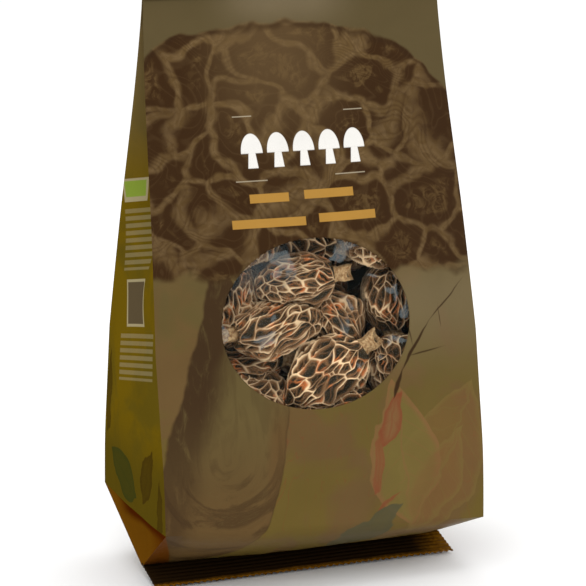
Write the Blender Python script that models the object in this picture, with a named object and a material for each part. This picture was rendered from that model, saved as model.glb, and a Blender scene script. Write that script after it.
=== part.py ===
"""A sealed, side-gusseted film pouch of dried morel mushrooms, with an oval clear window in its front.

The pouch stands on its folded bottom: front towards -Y, +X to the right, +Z up, origin under the middle of
its bounding box. The pouch is one closed film body (panels, gussets, bottom wedge, bottom fin and top seal),
the window is a clear patch sealed behind the oval hole, and every dried morel is a separate solid inside.
"""

import math
import random

import bmesh
import bpy
import numpy as np
from mathutils import Matrix, Vector

MM = 0.001

# Pouch, overall
HALF_WIDTH = 55.0 * MM
HALF_WIDTH_TOP = 50.0 * MM
HALF_DEPTH = 32.0 * MM
CREASE_LEFT_Z = 24.0 * MM
CREASE_RIGHT_Z = 18.0 * MM
NARROWING_START = 80.0 * MM
NARROWING_LENGTH = 110.0 * MM
WALL = 0.8 * MM
EDGE_ROUND = 0.3 * MM
TOP_CAVITY_Z = 174.0 * MM

# Half of the depth between the front and back edges, level by level up the pouch
DEPTH_PROFILE = (
    (24.0, 32.0),
    (40.0, 31.0),
    (60.0, 27.6),
    (80.0, 24.0),
    (100.0, 20.0),
    (120.0, 15.6),
    (140.0, 10.4),
    (160.0, 5.4),
    (174.0, 2.6),
    (186.0, 0.9),
    (204.0, 0.9),
)
# Crown of the front and back panels over the contents
CROWN_PROFILE = ((24.0, 1.0), (60.0, 4.0), (90.0, 5.0), (130.0, 4.0), (165.0, 1.5), (186.0, 0.0), (204.0, 0.0))
# How far the middle crease of each gusset is tucked in, negative where the contents push it out
TUCK_PROFILE = ((24.0, 0.0), (50.0, -1.2), (85.0, 0.5), (115.0, 6.0), (145.0, 5.0), (174.0, 0.8), (204.0, 0.0))
WALL_LEVELS = (24.0, 36.0, 48.0, 60.0, 74.0, 88.0, 102.0, 116.0, 130.0, 145.0, 160.0, 174.0, 186.0, 204.0)

# Bottom wedge and the fin seal that is folded forwards under it
ROOT_Z = 4.0 * MM
ROOT_HALF_WIDTH = 52.6 * MM
WEDGE_STEPS = (0.1, 0.35, 0.6, 0.85)
INNER_WEDGE_STEPS = (0.22, 0.4, 0.62, 0.85)
BELLY = 17.0 * MM
# How far the wedge sags in front, bulges over its contents, and tucks in at its sides; lift of its inside
WEDGE_SAG = 1.5 * MM
WEDGE_CROWN = 1.0 * MM
WEDGE_TUCK = 1.2 * MM
WEDGE_INNER_LIFT = 1.6
FIN_LENGTH = 14.0 * MM
FIN_THICKNESS = 1.2 * MM
ROOT_THICKNESS = 1.6 * MM

# Window
WINDOW_X = -1.7 * MM
WINDOW_Z = 87.0 * MM
WINDOW_HALF_WIDTH = 32.0 * MM
WINDOW_HALF_HEIGHT = 26.8 * MM
WINDOW_SIDES = 48
CUTTER_FRONT_Y = -60.0 * MM
CUTTER_DEPTH = 55.0 * MM
FILM_OVERLAP = 5.0 * MM
FILM_GAP = 0.5 * MM
FILM_THICKNESS = 0.4 * MM
FILM_RINGS = 4

# Ring of points around the pouch: panel columns, then gusset columns
PANEL_COLUMNS = 9
GUSSET_STEPS = (-0.5, 0.0, 0.5)

# Dried morels
MOREL_SIDES = 8
MOREL_GAP = 0.45 * MM
MOREL_FLATNESS = 0.78
MOREL_SPHERES = 5
SETTLE_ROUNDS = 900
MAX_NUDGE = 0.6 * MM
# Room kept between the morels and the pouch: to the walls, to the gussets and over the bottom
WALL_ROOM = 0.6 * MM
GUSSET_ROOM = 2.0 * MM
FLOOR_ROOM = 1.5 * MM
WEDGE_RISE = 20.0 * MM
BACK_FLOOR_Z = 2.0 * MM
SETTLE_TOP_Z = 150.0 * MM
SEED = 41

# The morels that lie against the window, left to right and top to bottom: place of the cap's middle from the
# window's centre (right, up), direction of the tip in degrees, cap length, cap radius, stem length
WINDOW_MORELS = (
    (-21.0, 20.0, 215.0, 24.0, 7.6, 9.0),
    (4.0, 21.0, 168.0, 22.0, 9.2, 10.0),
    (23.0, 16.0, 320.0, 20.0, 7.8, 9.0),
    (-18.0, 7.5, 62.0, 20.0, 6.6, 15.0),
    (0.0, 8.0, 185.0, 25.0, 6.8, 8.0),
    (27.0, 2.0, 95.0, 20.0, 7.8, 9.0),
    (-5.0, -3.0, 5.0, 27.0, 6.6, 14.0),
    (13.0, -3.5, 130.0, 20.0, 6.6, 9.0),
    (-20.0, -11.0, 178.0, 26.0, 6.6, 12.0),
    (5.0, -15.0, 212.0, 27.0, 7.4, 12.0),
    (24.0, -13.0, 118.0, 22.0, 7.4, 9.0),
    (-15.0, -22.0, 160.0, 20.0, 6.8, 11.0),
    (6.0, -26.0, 196.0, 20.0, 6.6, 14.0),
    (-33.0, -3.0, 250.0, 18.0, 6.4, 12.0),
)
# The rest of the contents: rows of loosely laid morels, as height in the pouch and number in the row
WINDOW_FOOT_LEVEL = 50.0
NARROW_LEVEL = 100.0
FILL_ROWS = ((22.0, 4), (34.0, 5), (48.0, 5), (62.0, 4), (76.0, 4), (92.0, 4), (108.0, 3), (124.0, 3))

FILM_OLIVE = (0.105, 0.075, 0.033)
CLEAR = (0.75, 0.78, 0.78)
DRIED_BROWN = (0.16, 0.085, 0.035)


def clear_scene():
    for obj in list(bpy.data.objects):
        bpy.data.objects.remove(obj, do_unlink=True)


def profile(points, z):
    """Value of a (height, size) profile in millimetres at height z in metres."""
    heights = [p[0] * MM for p in points]
    sizes = [p[1] * MM for p in points]
    return float(np.interp(z, heights, sizes))


def make_material(name, color, roughness, alpha=1.0):
    material = bpy.data.materials.new(name)
    material.use_nodes = True
    shader = material.node_tree.nodes["Principled BSDF"]
    shader.inputs["Base Color"].default_value = (*color, 1.0)
    shader.inputs["Roughness"].default_value = roughness
    shader.inputs["Metallic"].default_value = 0.0
    shader.inputs["Alpha"].default_value = alpha
    return material


def add_object(name, bm, material):
    mesh = bpy.data.meshes.new(name)
    bmesh.ops.recalc_face_normals(bm, faces=bm.faces)
    bm.to_mesh(mesh)
    bm.free()
    mesh.materials.append(material)
    obj = bpy.data.objects.new(name, mesh)
    bpy.context.collection.objects.link(obj)
    return obj


def half_width(z):
    """Half of the panel width at height z: full in the filled part, narrower towards the flat top."""
    rise = min(max((z - NARROWING_START) / NARROWING_LENGTH, 0.0), 1.0)
    return HALF_WIDTH + (HALF_WIDTH_TOP - HALF_WIDTH) * rise


def crease_z(share):
    """Height of the bottom crease, from the left corner (share -1) to the right corner (share 1)."""
    middle = (CREASE_LEFT_Z + CREASE_RIGHT_Z) / 2
    return middle + (CREASE_RIGHT_Z - CREASE_LEFT_Z) / 2 * share


def ring(front, back, side):
    """One closed ring of points: front left to right, right gusset, back right to left, left gusset."""
    shares = [2 * i / (PANEL_COLUMNS - 1) - 1 for i in range(PANEL_COLUMNS)]
    points = [front(s) for s in shares]
    points += [side(1, step) for step in GUSSET_STEPS]
    points += [back(s) for s in reversed(shares)]
    points += [side(-1, -step) for step in GUSSET_STEPS]
    return points


def wall_ring(z, inset):
    """Ring around the upright part of the pouch at height z, moved inwards by inset."""
    depth = profile(DEPTH_PROFILE, z) - inset
    width = half_width(z) - inset
    crown = profile(CROWN_PROFILE, z)
    tuck = profile(TUCK_PROFILE, z)
    tilt = 1.0 if z <= CREASE_LEFT_Z else 0.0

    def height(share):
        return z + tilt * (crease_z(share) - CREASE_LEFT_Z)

    def front(s):
        return Vector((s * width, -depth - crown * (1 - s * s), height(s)))

    def back(s):
        return Vector((s * width, depth + crown * (1 - s * s), height(s)))

    def side(sign, step):
        x = width - tuck * (1 - abs(step)) + EDGE_ROUND * (1 - step * step)
        return Vector((sign * x, step * depth, height(sign)))

    return ring(front, back, side)


def wedge_ring(step, inset):
    """Ring around the bottom wedge: step 1 is the crease and step 0 the root of the fin."""
    depth = HALF_DEPTH * step - inset
    width = ROOT_HALF_WIDTH + (HALF_WIDTH - ROOT_HALF_WIDTH) * step - inset
    swell = math.sin(math.pi * step)

    def line(share):
        return ROOT_Z + (crease_z(share) - ROOT_Z) * step + WEDGE_INNER_LIFT * inset

    def front(s):
        z = line(s) - WEDGE_SAG * swell * (1 - s * s)
        return Vector((s * width, -depth - WEDGE_CROWN * step * (1 - s * s), z))

    def back(s):
        z = max(inset, line(s) - BELLY * (1 - s ** 4))
        return Vector((s * width, depth + WEDGE_CROWN * step * (1 - s * s), z))

    def side(sign, along):
        x = width - WEDGE_TUCK * swell * (1 - abs(along))
        return Vector((sign * x, along * depth, line(sign)))

    return ring(front, back, side)


def fin_ring(reach):
    """Ring around the fin seal: reach 0 is its root under the pouch and reach 1 its free edge."""
    thickness = ROOT_THICKNESS + (FIN_THICKNESS - ROOT_THICKNESS) * reach
    y = -FIN_LENGTH * reach
    z = ROOT_Z + (FIN_THICKNESS / 2 - ROOT_Z) * reach
    lean = 0.5 * (1 - reach)

    def front(s):
        return Vector((s * ROOT_HALF_WIDTH, y - lean * thickness, z + thickness / 2))

    def back(s):
        return Vector((s * ROOT_HALF_WIDTH, y + lean * thickness, z - thickness / 2))

    def side(sign, along):
        x = ROOT_HALF_WIDTH + EDGE_ROUND * (1 - along * along)
        return Vector((sign * x, y + along * lean * thickness, z - along * thickness / 2))

    return ring(front, back, side)


def loft(rings):
    """Closed body through the rings, with both ends closed by strips between front and back columns."""
    bm = bmesh.new()
    rows = [[bm.verts.new(p) for p in points] for points in rings]
    count = len(rows[0])
    for lower, upper in zip(rows, rows[1:]):
        for i in range(count):
            j = (i + 1) % count
            bm.faces.new((lower[i], lower[j], upper[j], upper[i]))
    for row in (rows[0], rows[-1]):
        close_end(bm, row)
    return bm


def close_end(bm, row):
    """Closes an end ring: a quad strip between the panels and a fan over each gusset's columns."""
    steps = len(GUSSET_STEPS)
    front = row[:PANEL_COLUMNS]
    right = row[PANEL_COLUMNS:PANEL_COLUMNS + steps]
    back = row[PANEL_COLUMNS + steps:2 * PANEL_COLUMNS + steps]
    left = row[2 * PANEL_COLUMNS + steps:]
    back.reverse()
    for i in range(PANEL_COLUMNS - 1):
        bm.faces.new((front[i], front[i + 1], back[i + 1], back[i]))
    bm.faces.new((front[-1], *right, back[-1]))
    bm.faces.new((back[0], *left, front[0]))


def boolean_cut(obj, cutter):
    cut = obj.modifiers.new("cut_" + cutter.name, "BOOLEAN")
    cut.operation = "DIFFERENCE"
    cut.solver = "EXACT"
    cut.object = cutter
    cutter.hide_render = True
    cutter.display_type = "WIRE"


def window_cutter():
    """Upright oval prism that passes through the front panel only."""
    bm = bmesh.new()
    corners = []
    for i in range(WINDOW_SIDES):
        angle = 2 * math.pi * i / WINDOW_SIDES
        x = WINDOW_X + WINDOW_HALF_WIDTH * math.cos(angle)
        z = WINDOW_Z + WINDOW_HALF_HEIGHT * math.sin(angle)
        corners.append(bm.verts.new((x, CUTTER_FRONT_Y, z)))
    face = bm.faces.new(corners)
    swept = bmesh.ops.extrude_face_region(bm, geom=[face])
    moved = [v for v in swept["geom"] if isinstance(v, bmesh.types.BMVert)]
    bmesh.ops.translate(bm, verts=moved, vec=(0.0, CUTTER_DEPTH, 0.0))
    return add_object("window_cutter", bm, make_material("cutter", CLEAR, 0.5))


def build_pouch():
    fin = [fin_ring(reach) for reach in (1.0, 0.5, 0.0)]
    wedge = [wedge_ring(step, 0.0) for step in WEDGE_STEPS]
    walls = [wall_ring(z * MM, 0.0) for z in WALL_LEVELS]
    pouch = add_object("bag_film", loft(fin + wedge + walls), make_material("printed_film", FILM_OLIVE, 0.38))

    inner = [wedge_ring(step, WALL) for step in INNER_WEDGE_STEPS]
    inner += [wall_ring(z * MM, WALL) for z in WALL_LEVELS if z * MM <= TOP_CAVITY_Z]
    cavity = add_object("cavity_cutter", loft(inner), make_material("cavity", CLEAR, 0.5))
    boolean_cut(pouch, cavity)
    boolean_cut(pouch, window_cutter())
    return pouch


def front_y(x, z):
    """Outside of the front panel at x and height z."""
    share = x / half_width(z)
    return -profile(DEPTH_PROFILE, z) - profile(CROWN_PROFILE, z) * (1 - share * share)


def build_window_film():
    """Clear oval patch behind the hole, following the crown of the front panel."""
    bm = bmesh.new()
    shells = []
    for offset in (WALL + FILM_GAP, WALL + FILM_GAP + FILM_THICKNESS):
        centre = bm.verts.new((WINDOW_X, front_y(WINDOW_X, WINDOW_Z) + offset, WINDOW_Z))
        rings = []
        for k in range(1, FILM_RINGS + 1):
            ring_verts = []
            for i in range(WINDOW_SIDES // 2):
                angle = 4 * math.pi * i / WINDOW_SIDES
                x = WINDOW_X + (WINDOW_HALF_WIDTH + FILM_OVERLAP) * k / FILM_RINGS * math.cos(angle)
                z = WINDOW_Z + (WINDOW_HALF_HEIGHT + FILM_OVERLAP) * k / FILM_RINGS * math.sin(angle)
                ring_verts.append(bm.verts.new((x, front_y(x, z) + offset, z)))
            rings.append(ring_verts)
        shells.append((centre, rings))
    count = WINDOW_SIDES // 2
    for centre, rings in shells:
        for i in range(count):
            j = (i + 1) % count
            bm.faces.new((centre, rings[0][i], rings[0][j]))
            for inner, outer in zip(rings, rings[1:]):
                bm.faces.new((inner[i], outer[i], outer[j], inner[j]))
    rim_front = shells[0][1][-1]
    rim_back = shells[1][1][-1]
    for i in range(count):
        j = (i + 1) % count
        bm.faces.new((rim_front[i], rim_back[i], rim_back[j], rim_front[j]))
    return add_object("window_film", bm, make_material("clear_film", CLEAR, 0.12, 0.3))


def cap_profile(length, radius):
    """Cap outline from its lower rim to its tip, as (distance from the stem's base end, radius)."""
    return ((0.0, 0.62 * radius), (0.14 * length, 0.9 * radius), (0.38 * length, radius),
            (0.64 * length, 0.82 * radius), (0.86 * length, 0.46 * radius))


def build_morel(name, morel, material):
    """One dried morel: ridged cap drawn out along +X, on a short stem that is open and hollow at its end."""
    stem = morel["stem"]
    length = morel["cap"]
    radius = morel["radius"]
    stem_radius = morel["stem_radius"]
    outline = [(0.72 * stem, 0.35 * stem_radius), (0.55 * stem, 0.58 * stem_radius), (0.0, 0.62 * stem_radius)]
    outline += [(0.0, 1.12 * stem_radius), (0.3 * stem, stem_radius), (0.95 * stem, stem_radius)]
    outline += [(stem + s, r) for s, r in cap_profile(length, radius)]
    whole = stem + length
    bm = bmesh.new()
    rows = []
    for along, size in outline:
        row = []
        for i in range(MOREL_SIDES):
            angle = 2 * math.pi * i / MOREL_SIDES
            lobes = 1 - 0.09 * (1 + math.cos(3 * angle + morel["phase"])) / 2
            bend = morel["bend"] * (along / whole - 0.5) ** 2
            y = size * lobes * math.cos(angle) + bend
            z = size * lobes * MOREL_FLATNESS * math.sin(angle)
            row.append(bm.verts.new((along - whole / 2, y, z)))
        rows.append(row)
    for first, second in zip(rows, rows[1:]):
        for i in range(MOREL_SIDES):
            j = (i + 1) % MOREL_SIDES
            bm.faces.new((first[i], first[j], second[j], second[i]))
    bore_end = bm.verts.new((0.78 * stem - whole / 2, morel["bend"] * (0.78 * stem / whole - 0.5) ** 2, 0.0))
    tip = bm.verts.new((whole / 2, 0.25 * morel["bend"], 0.0))
    for i in range(MOREL_SIDES):
        j = (i + 1) % MOREL_SIDES
        bm.faces.new((bore_end, rows[0][j], rows[0][i]))
        bm.faces.new((tip, rows[-1][i], rows[-1][j]))
    obj = add_object(name, bm, material)
    obj.data.shade_smooth()
    obj.data.transform(morel["turn"].to_4x4())
    obj.location = morel["place"]
    return obj


def wall_slope(z):
    """Backward lean of the front panel at height z, in radians."""
    step = 8.0 * MM
    return math.atan2(front_y(WINDOW_X, z + step) - front_y(WINDOW_X, z - step), 2 * step)


def turn_to(direction, facing):
    """Rotation that takes +X to direction and +Z close to facing."""
    x = direction.normalized()
    y = facing.cross(x).normalized()
    z = x.cross(y)
    return Matrix((x, y, z)).transposed()


def window_layer():
    """The morels that are seen through the window, lying along the front panel."""
    rng = random.Random(SEED)
    layer = []
    for right, up, degrees, cap, radius, stem in WINDOW_MORELS:
        x = WINDOW_X + right * MM
        z = WINDOW_Z + up * MM
        lean = wall_slope(z)
        uphill = Vector((0.0, math.sin(lean), math.cos(lean)))
        inwards = Vector((0.0, math.cos(lean), -math.sin(lean)))
        angle = math.radians(degrees)
        direction = Vector((math.cos(angle), 0.0, 0.0)) + uphill * math.sin(angle)
        direction += inwards * rng.uniform(-0.12, 0.12)
        direction.normalize()
        centre = Vector((x, front_y(x, z) + radius * MM + 3.0 * MM, z)) - direction * (stem / 2) * MM
        layer.append({
            "cap": cap * MM, "radius": radius * MM, "stem": stem * MM, "stem_radius": rng.uniform(3.0, 3.8) * MM,
            "bend": rng.uniform(-3.0, 3.0) * MM, "phase": rng.uniform(0.0, 6.28), "place": centre,
            "turn": turn_to(direction, inwards), "weight": 0.12,
        })
    return layer


def loose_fill():
    """The rest of the contents, laid row by row at seeded angles behind and below the window layer."""
    rng = random.Random(SEED + 1)
    fill = []
    for level, count in FILL_ROWS:
        for k in range(count):
            z = (level + rng.uniform(-4.0, 4.0)) * MM
            x = half_width(z) * 1.5 * ((k + 0.5) / count - 0.5) + rng.uniform(-4.0, 4.0) * MM
            reach = profile(DEPTH_PROFILE, max(z, CREASE_LEFT_Z))
            nearest = -0.45 if level < WINDOW_FOOT_LEVEL else 0.1
            y = rng.uniform(nearest, 0.5) * reach
            slant = 0.1 if level > NARROW_LEVEL else 0.45
            direction = Vector((rng.uniform(-1, 1), rng.uniform(-slant, slant), rng.uniform(-0.6, 0.6)))
            fill.append({
                "cap": rng.uniform(20.0, 27.0) * MM, "radius": rng.uniform(6.6, 8.4) * MM,
                "stem": rng.uniform(8.0, 14.0) * MM, "stem_radius": rng.uniform(3.0, 3.8) * MM,
                "bend": rng.uniform(-3.0, 3.0) * MM, "phase": rng.uniform(0.0, 6.28), "place": Vector((x, y, z)),
                "turn": turn_to(direction, Vector((0.0, 1.0, 0.1))), "weight": 1.0,
            })
    return fill


def sphere_chain(morel):
    """Spheres that enclose a morel along its own axis, as local places and radii."""
    whole = morel["stem"] + morel["cap"]
    outline = [(0.0, 1.12 * morel["stem_radius"]), (0.95 * morel["stem"], morel["stem_radius"])]
    outline += [(morel["stem"] + s, r) for s, r in cap_profile(morel["cap"], morel["radius"])]
    outline.append((whole, 0.2 * morel["radius"]))
    along = np.linspace(0.09, 0.88, MOREL_SPHERES) * whole
    radii = np.interp(along, [p[0] for p in outline], [p[1] for p in outline])
    bend = morel["bend"] * (along / whole - 0.5) ** 2
    local = np.stack([along - whole / 2, bend, np.zeros(MOREL_SPHERES)], axis=1)
    return local @ np.array(morel["turn"]).T, radii * 1.04


def wall_push(points, radii):
    """How far each sphere has to move to stand clear of the pouch's walls, floor and window film."""
    clear = WALL + FILM_GAP + FILM_THICKNESS + WALL_ROOM
    push = np.zeros_like(points)
    for i, (x, y, z) in enumerate(points):
        level = min(max(z, CREASE_LEFT_Z), SETTLE_TOP_Z)
        depth = -front_y(min(max(x, -half_width(level)), half_width(level)), level)
        front_gap = y - radii[i] * 1.08 + depth - clear
        back_gap = depth - clear - y - radii[i] * 1.08
        tuck = max(profile(TUCK_PROFILE, level), 0.0)
        side_gap = half_width(level) - tuck - GUSSET_ROOM - abs(x) - radii[i]
        wedge_floor = ROOT_Z + WEDGE_RISE * abs(y) / HALF_DEPTH if y < 0 else BACK_FLOOR_Z
        corner_floor = WEDGE_RISE * (abs(x) / HALF_WIDTH) ** 4
        floor_gap = z - radii[i] * 1.25 - max(wedge_floor, corner_floor) - FLOOR_ROOM
        push[i] = (math.copysign(1.0, x) * min(side_gap, 0.0), min(back_gap, 0.0) - min(front_gap, 0.0),
                   -min(floor_gap, 0.0))
    return push


def settle(morels):
    """Moves overlapping morels apart, without turning them, until all of them are clear of each other."""
    chains = [sphere_chain(m) for m in morels]
    offsets = np.concatenate([c[0] for c in chains])
    radii = np.concatenate([c[1] for c in chains])
    owner = np.repeat(np.arange(len(morels)), MOREL_SPHERES)
    weight = np.array([m["weight"] for m in morels])
    places = np.array([m["place"] for m in morels])
    reach = radii[:, None] + radii[None, :] + MOREL_GAP
    same = owner[:, None] == owner[None, :]
    share = weight[owner][:, None] / (weight[owner][:, None] + weight[owner][None, :])
    for _ in range(SETTLE_ROUNDS):
        points = places[owner] + offsets
        apart = points[:, None, :] - points[None, :, :]
        distance = np.linalg.norm(apart, axis=2) + 1e-9
        overlap = np.where(same, 0.0, np.maximum(reach - distance, 0.0))
        nudge = (overlap * share / distance)[:, :, None] * apart
        total = nudge.sum(axis=1) * 0.5 + wall_push(points, radii) * 0.6
        moved = np.zeros_like(places)
        np.add.at(moved, owner, total)
        moved = np.clip(moved, -MAX_NUDGE, MAX_NUDGE)
        places = places + moved
        if overlap.max() < 0.1 * MOREL_GAP and np.abs(moved).max() < 0.02 * MM:
            break
    for morel, place in zip(morels, places):
        morel["place"] = Vector(place.tolist())


def main():
    clear_scene()
    build_pouch()
    build_window_film()
    material = make_material("dried_morel", DRIED_BROWN, 0.7)
    morels = window_layer() + loose_fill()
    settle(morels)
    for index, morel in enumerate(morels):
        build_morel(f"morel_{index + 1:02d}", morel, material)


main()
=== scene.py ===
import math

import bmesh
import bpy
import numpy as np
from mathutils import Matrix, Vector, noise


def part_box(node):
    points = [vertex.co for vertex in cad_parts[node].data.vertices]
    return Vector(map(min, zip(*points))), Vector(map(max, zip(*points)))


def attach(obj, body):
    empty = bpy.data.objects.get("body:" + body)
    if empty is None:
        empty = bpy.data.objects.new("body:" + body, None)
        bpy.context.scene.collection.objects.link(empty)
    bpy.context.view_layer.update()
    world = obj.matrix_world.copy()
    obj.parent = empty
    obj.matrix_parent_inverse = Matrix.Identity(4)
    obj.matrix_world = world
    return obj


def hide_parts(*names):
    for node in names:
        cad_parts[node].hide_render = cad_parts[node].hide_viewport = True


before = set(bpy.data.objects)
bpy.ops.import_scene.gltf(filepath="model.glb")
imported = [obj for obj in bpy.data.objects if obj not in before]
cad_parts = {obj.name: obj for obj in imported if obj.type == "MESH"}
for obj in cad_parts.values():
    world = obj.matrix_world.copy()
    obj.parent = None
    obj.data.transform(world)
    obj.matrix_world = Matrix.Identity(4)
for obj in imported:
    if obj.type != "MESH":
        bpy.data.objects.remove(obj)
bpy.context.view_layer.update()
MM = 0.001

# -----------------------------------------------------------------------------------------------------------
# Printed film. One web of laminated plastic film, printed olive-brown outside and gold inside, formed into a
# pouch with a gusset folded into each side. Fold lines run up all four edges, and it is flat at the top.

POUCH_TOP_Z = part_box("bag_film")[1][2] / MM
PANEL_HALF = 55.0
PANEL_HALF_TOP = 50.0
HALF_DEPTH = 32.0
SEAL_FOOT_Z = 190.0
CREASE_LEFT_Z = 24.0
CREASE_RIGHT_Z = 18.0
ROOT_Z = 4.0
ROOT_HALF = 52.6
FILM_THICKNESS = 0.08
LAYER_GAP = 0.12
DEPTH_LEVELS = ((0, 32), (24, 32), (40, 31), (60, 27.6), (80, 24), (100, 20), (120, 15.6), (140, 10.4),
                (160, 5.4), (174, 2.6), (186, 0.8), (190, 0.5), (210, 0.5))
CROWN_LEVELS = ((0, 1), (24, 1.0), (60, 4), (90, 5), (130, 4), (165, 1.5), (186, 0), (210, 0))
TUCK_LEVELS = ((0, -0.6), (24, -0.8), (60, -1.0), (85, 0.8), (115, 8), (145, 17), (174, 23), (186, 25),
               (210, 25))
WINDOW_X = -1.7
WINDOW_Z = 87.0
WINDOW_HALF_WIDTH = 32.0
WINDOW_HALF_HEIGHT = 26.8
HOLE_BLOCK_HALF_WIDTH = 36.0
HOLE_BLOCK_HALF_HEIGHT = 30.5
NARROWING_START_Z = 80.0
FOLD_ANGLE = 38
# The ear is the part of the front beyond a slanting fold line at its lower left
EAR_TOP_Z = 24.0
EAR_FOLD_X = -41.45
EAR_FOLD_SLOPE = 0.565
# How much the folded bottom bulges in front, sags in front, drops behind, and tucks in at its sides
WEDGE_ROUNDNESS = 0.42
WEDGE_SAG = 0.6
WEDGE_BELLY = 17.0
WEDGE_TUCK = 2.6


def level_curve(points, z):
    """Smooth curve through a few (height, size) points: cubic between them, with averaged slopes."""
    heights = np.array([p[0] for p in points], float)
    sizes = np.array([p[1] for p in points], float)
    slopes = np.gradient(sizes, heights)
    z = np.clip(z, heights[0], heights[-1])
    i = np.clip(np.searchsorted(heights, z) - 1, 0, len(heights) - 2)
    step = heights[i + 1] - heights[i]
    t = (z - heights[i]) / step
    rise = (2 * t - 3) * t * t
    return (sizes[i] * (1 + rise) - sizes[i + 1] * rise
            + step * t * (1 - t) * ((1 - t) * slopes[i] - t * slopes[i + 1]))


def panel_half(z):
    """Half of the panel width at height z."""
    share = (z - NARROWING_START_Z) / (SEAL_FOOT_Z - NARROWING_START_Z)
    return PANEL_HALF + (PANEL_HALF_TOP - PANEL_HALF) * np.clip(share, 0, 1)


def crease_z(share):
    """Height of the bottom crease from the left corner, share -1, to the right corner, share 1."""
    return (CREASE_LEFT_Z + CREASE_RIGHT_Z) / 2 + (CREASE_RIGHT_Z - CREASE_LEFT_Z) / 2 * share


def soft_noise(x, y, z, size, seed):
    """Smooth noise between about -1 and 1 at places given in millimetres, with lumps of the given size."""
    flat = np.stack(np.broadcast_arrays(x, y, z), axis=-1).reshape(-1, 3) / size + seed * 7.31
    values = np.array([noise.noise(Vector(p)) for p in flat.tolist()])
    return values.reshape(np.broadcast(x, y, z).shape)


def smooth_step(low, high, value):
    t = np.clip((value - low) / (high - low), 0, 1)
    return t * t * (3 - 2 * t)


def film_relief(x, z, seed):
    """Dents and pleats of a filled film pouch, as millimetres outwards at place x across and height z."""
    lumps = 0.45 * soft_noise(x, 0.0, z, 30.0, seed) + 0.16 * soft_noise(x, 0.0, z * 0.8, 13.0, seed + 1)
    filled = smooth_step(168, 115, z)
    pleats = 0.3 * np.abs(soft_noise(x + 0.15 * z, 0.0, z * 0.12, 7.0, seed + 2)) * smooth_step(120, 180, z)
    heel = 0.2 * soft_noise(x - 0.4 * z, 0.0, z * 0.5, 8.0, seed + 3) * smooth_step(50, 20, z)
    return lumps * filled + pleats + heel


def new_piece(name, verts, faces, materials, slots=None, sharp=None):
    """Mesh object from places in millimetres, with one material slot number for each face."""
    mesh = bpy.data.meshes.new(name)
    mesh.from_pydata((np.asarray(verts) * MM).tolist(), [], faces)
    for material in materials:
        mesh.materials.append(material)
    if slots is not None:
        mesh.polygons.foreach_set("material_index", np.asarray(slots, np.int32))
    mesh.shade_smooth()
    if sharp is not None:
        mesh.set_sharp_from_angle(angle=math.radians(sharp))
    obj = bpy.data.objects.new(name, mesh)
    bpy.context.collection.objects.link(obj)
    return obj


# How the film's materials are put together
def add_node(tree, kind, ins=None, **settings):
    """A node with its fields set and its inputs, by name or number, given a value or joined to a socket."""
    made = tree.nodes.new(kind)
    for field, value in settings.items():
        setattr(made, field, value)
    for key, value in (ins or {}).items():
        if isinstance(value, bpy.types.NodeSocket):
            tree.links.new(value, made.inputs[key])
        else:
            made.inputs[key].default_value = value
    return made


def calc(tree, operation, a, b=0.0, c=0.0):
    ins = {0: a, 1: b}
    if operation in ("MULTIPLY_ADD", "SMOOTH_MIN", "SMOOTH_MAX", "COMPARE", "WRAP"):
        ins[2] = c
    return add_node(tree, "ShaderNodeMath", ins, operation=operation).outputs[0]


def times(tree, a, b):
    return calc(tree, "MULTIPLY", a, b)


def times_plus(tree, a, b, c):
    return calc(tree, "MULTIPLY_ADD", a, b, c)


def mask_between(tree, value, low, high):
    """0 below low, 1 above high, and smooth between; low may be the greater one."""
    turned = low > high
    ins = {"Value": value, "From Min": min(low, high), "From Max": max(low, high),
           "To Min": 1.0 if turned else 0.0, "To Max": 0.0 if turned else 1.0}
    made = add_node(tree, "ShaderNodeMapRange", ins, interpolation_type="SMOOTHSTEP")
    return made.outputs["Result"]


def blend(tree, factor, first, second, mode="MIX"):
    made = tree.nodes.new("ShaderNodeMix")
    made.data_type = "RGBA"
    made.blend_type = mode
    for key, value in ((0, factor), (6, first), (7, second)):
        if isinstance(value, bpy.types.NodeSocket):
            tree.links.new(value, made.inputs[key])
        elif key == 0:
            made.inputs[key].default_value = value
        else:
            made.inputs[key].default_value = (*value, 1.0)
    return made.outputs[2]


def noise_value(tree, vector, scale, detail=2.0, roughness=0.5, distortion=0.0):
    ins = {"Vector": vector, "Scale": scale, "Detail": detail, "Roughness": roughness,
           "Distortion": distortion}
    return add_node(tree, "ShaderNodeTexNoise", ins).outputs["Fac"]


def millimetre_place(tree):
    """The place on the piece in millimetres, as a vector and as its three parts."""
    coords = add_node(tree, "ShaderNodeTexCoord")
    place = add_node(tree, "ShaderNodeVectorMath", {0: coords.outputs["Object"], "Scale": 1000.0},
                     operation="SCALE")
    parts = add_node(tree, "ShaderNodeSeparateXYZ", {0: place.outputs[0]})
    return place.outputs[0], parts.outputs[0], parts.outputs[1], parts.outputs[2]


def new_group(name, inputs, outputs):
    """A shader node group with (name, kind, default) inputs and (name, kind) outputs."""
    tree = bpy.data.node_groups.new(name, "ShaderNodeTree")
    for label, kind, default in inputs:
        socket = tree.interface.new_socket(label, in_out="INPUT", socket_type=kind)
        if default is not None:
            socket.default_value = default
    for label, kind in outputs:
        tree.interface.new_socket(label, in_out="OUTPUT", socket_type=kind)
    return tree, tree.nodes.new("NodeGroupInput").outputs, tree.nodes.new("NodeGroupOutput").inputs


def place_group(tree, group, ins):
    made = tree.nodes.new("ShaderNodeGroup")
    made.node_tree = group
    for key, value in ins.items():
        if isinstance(value, bpy.types.NodeSocket):
            tree.links.new(value, made.inputs[key])
        else:
            made.inputs[key].default_value = value
    return made.outputs


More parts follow.
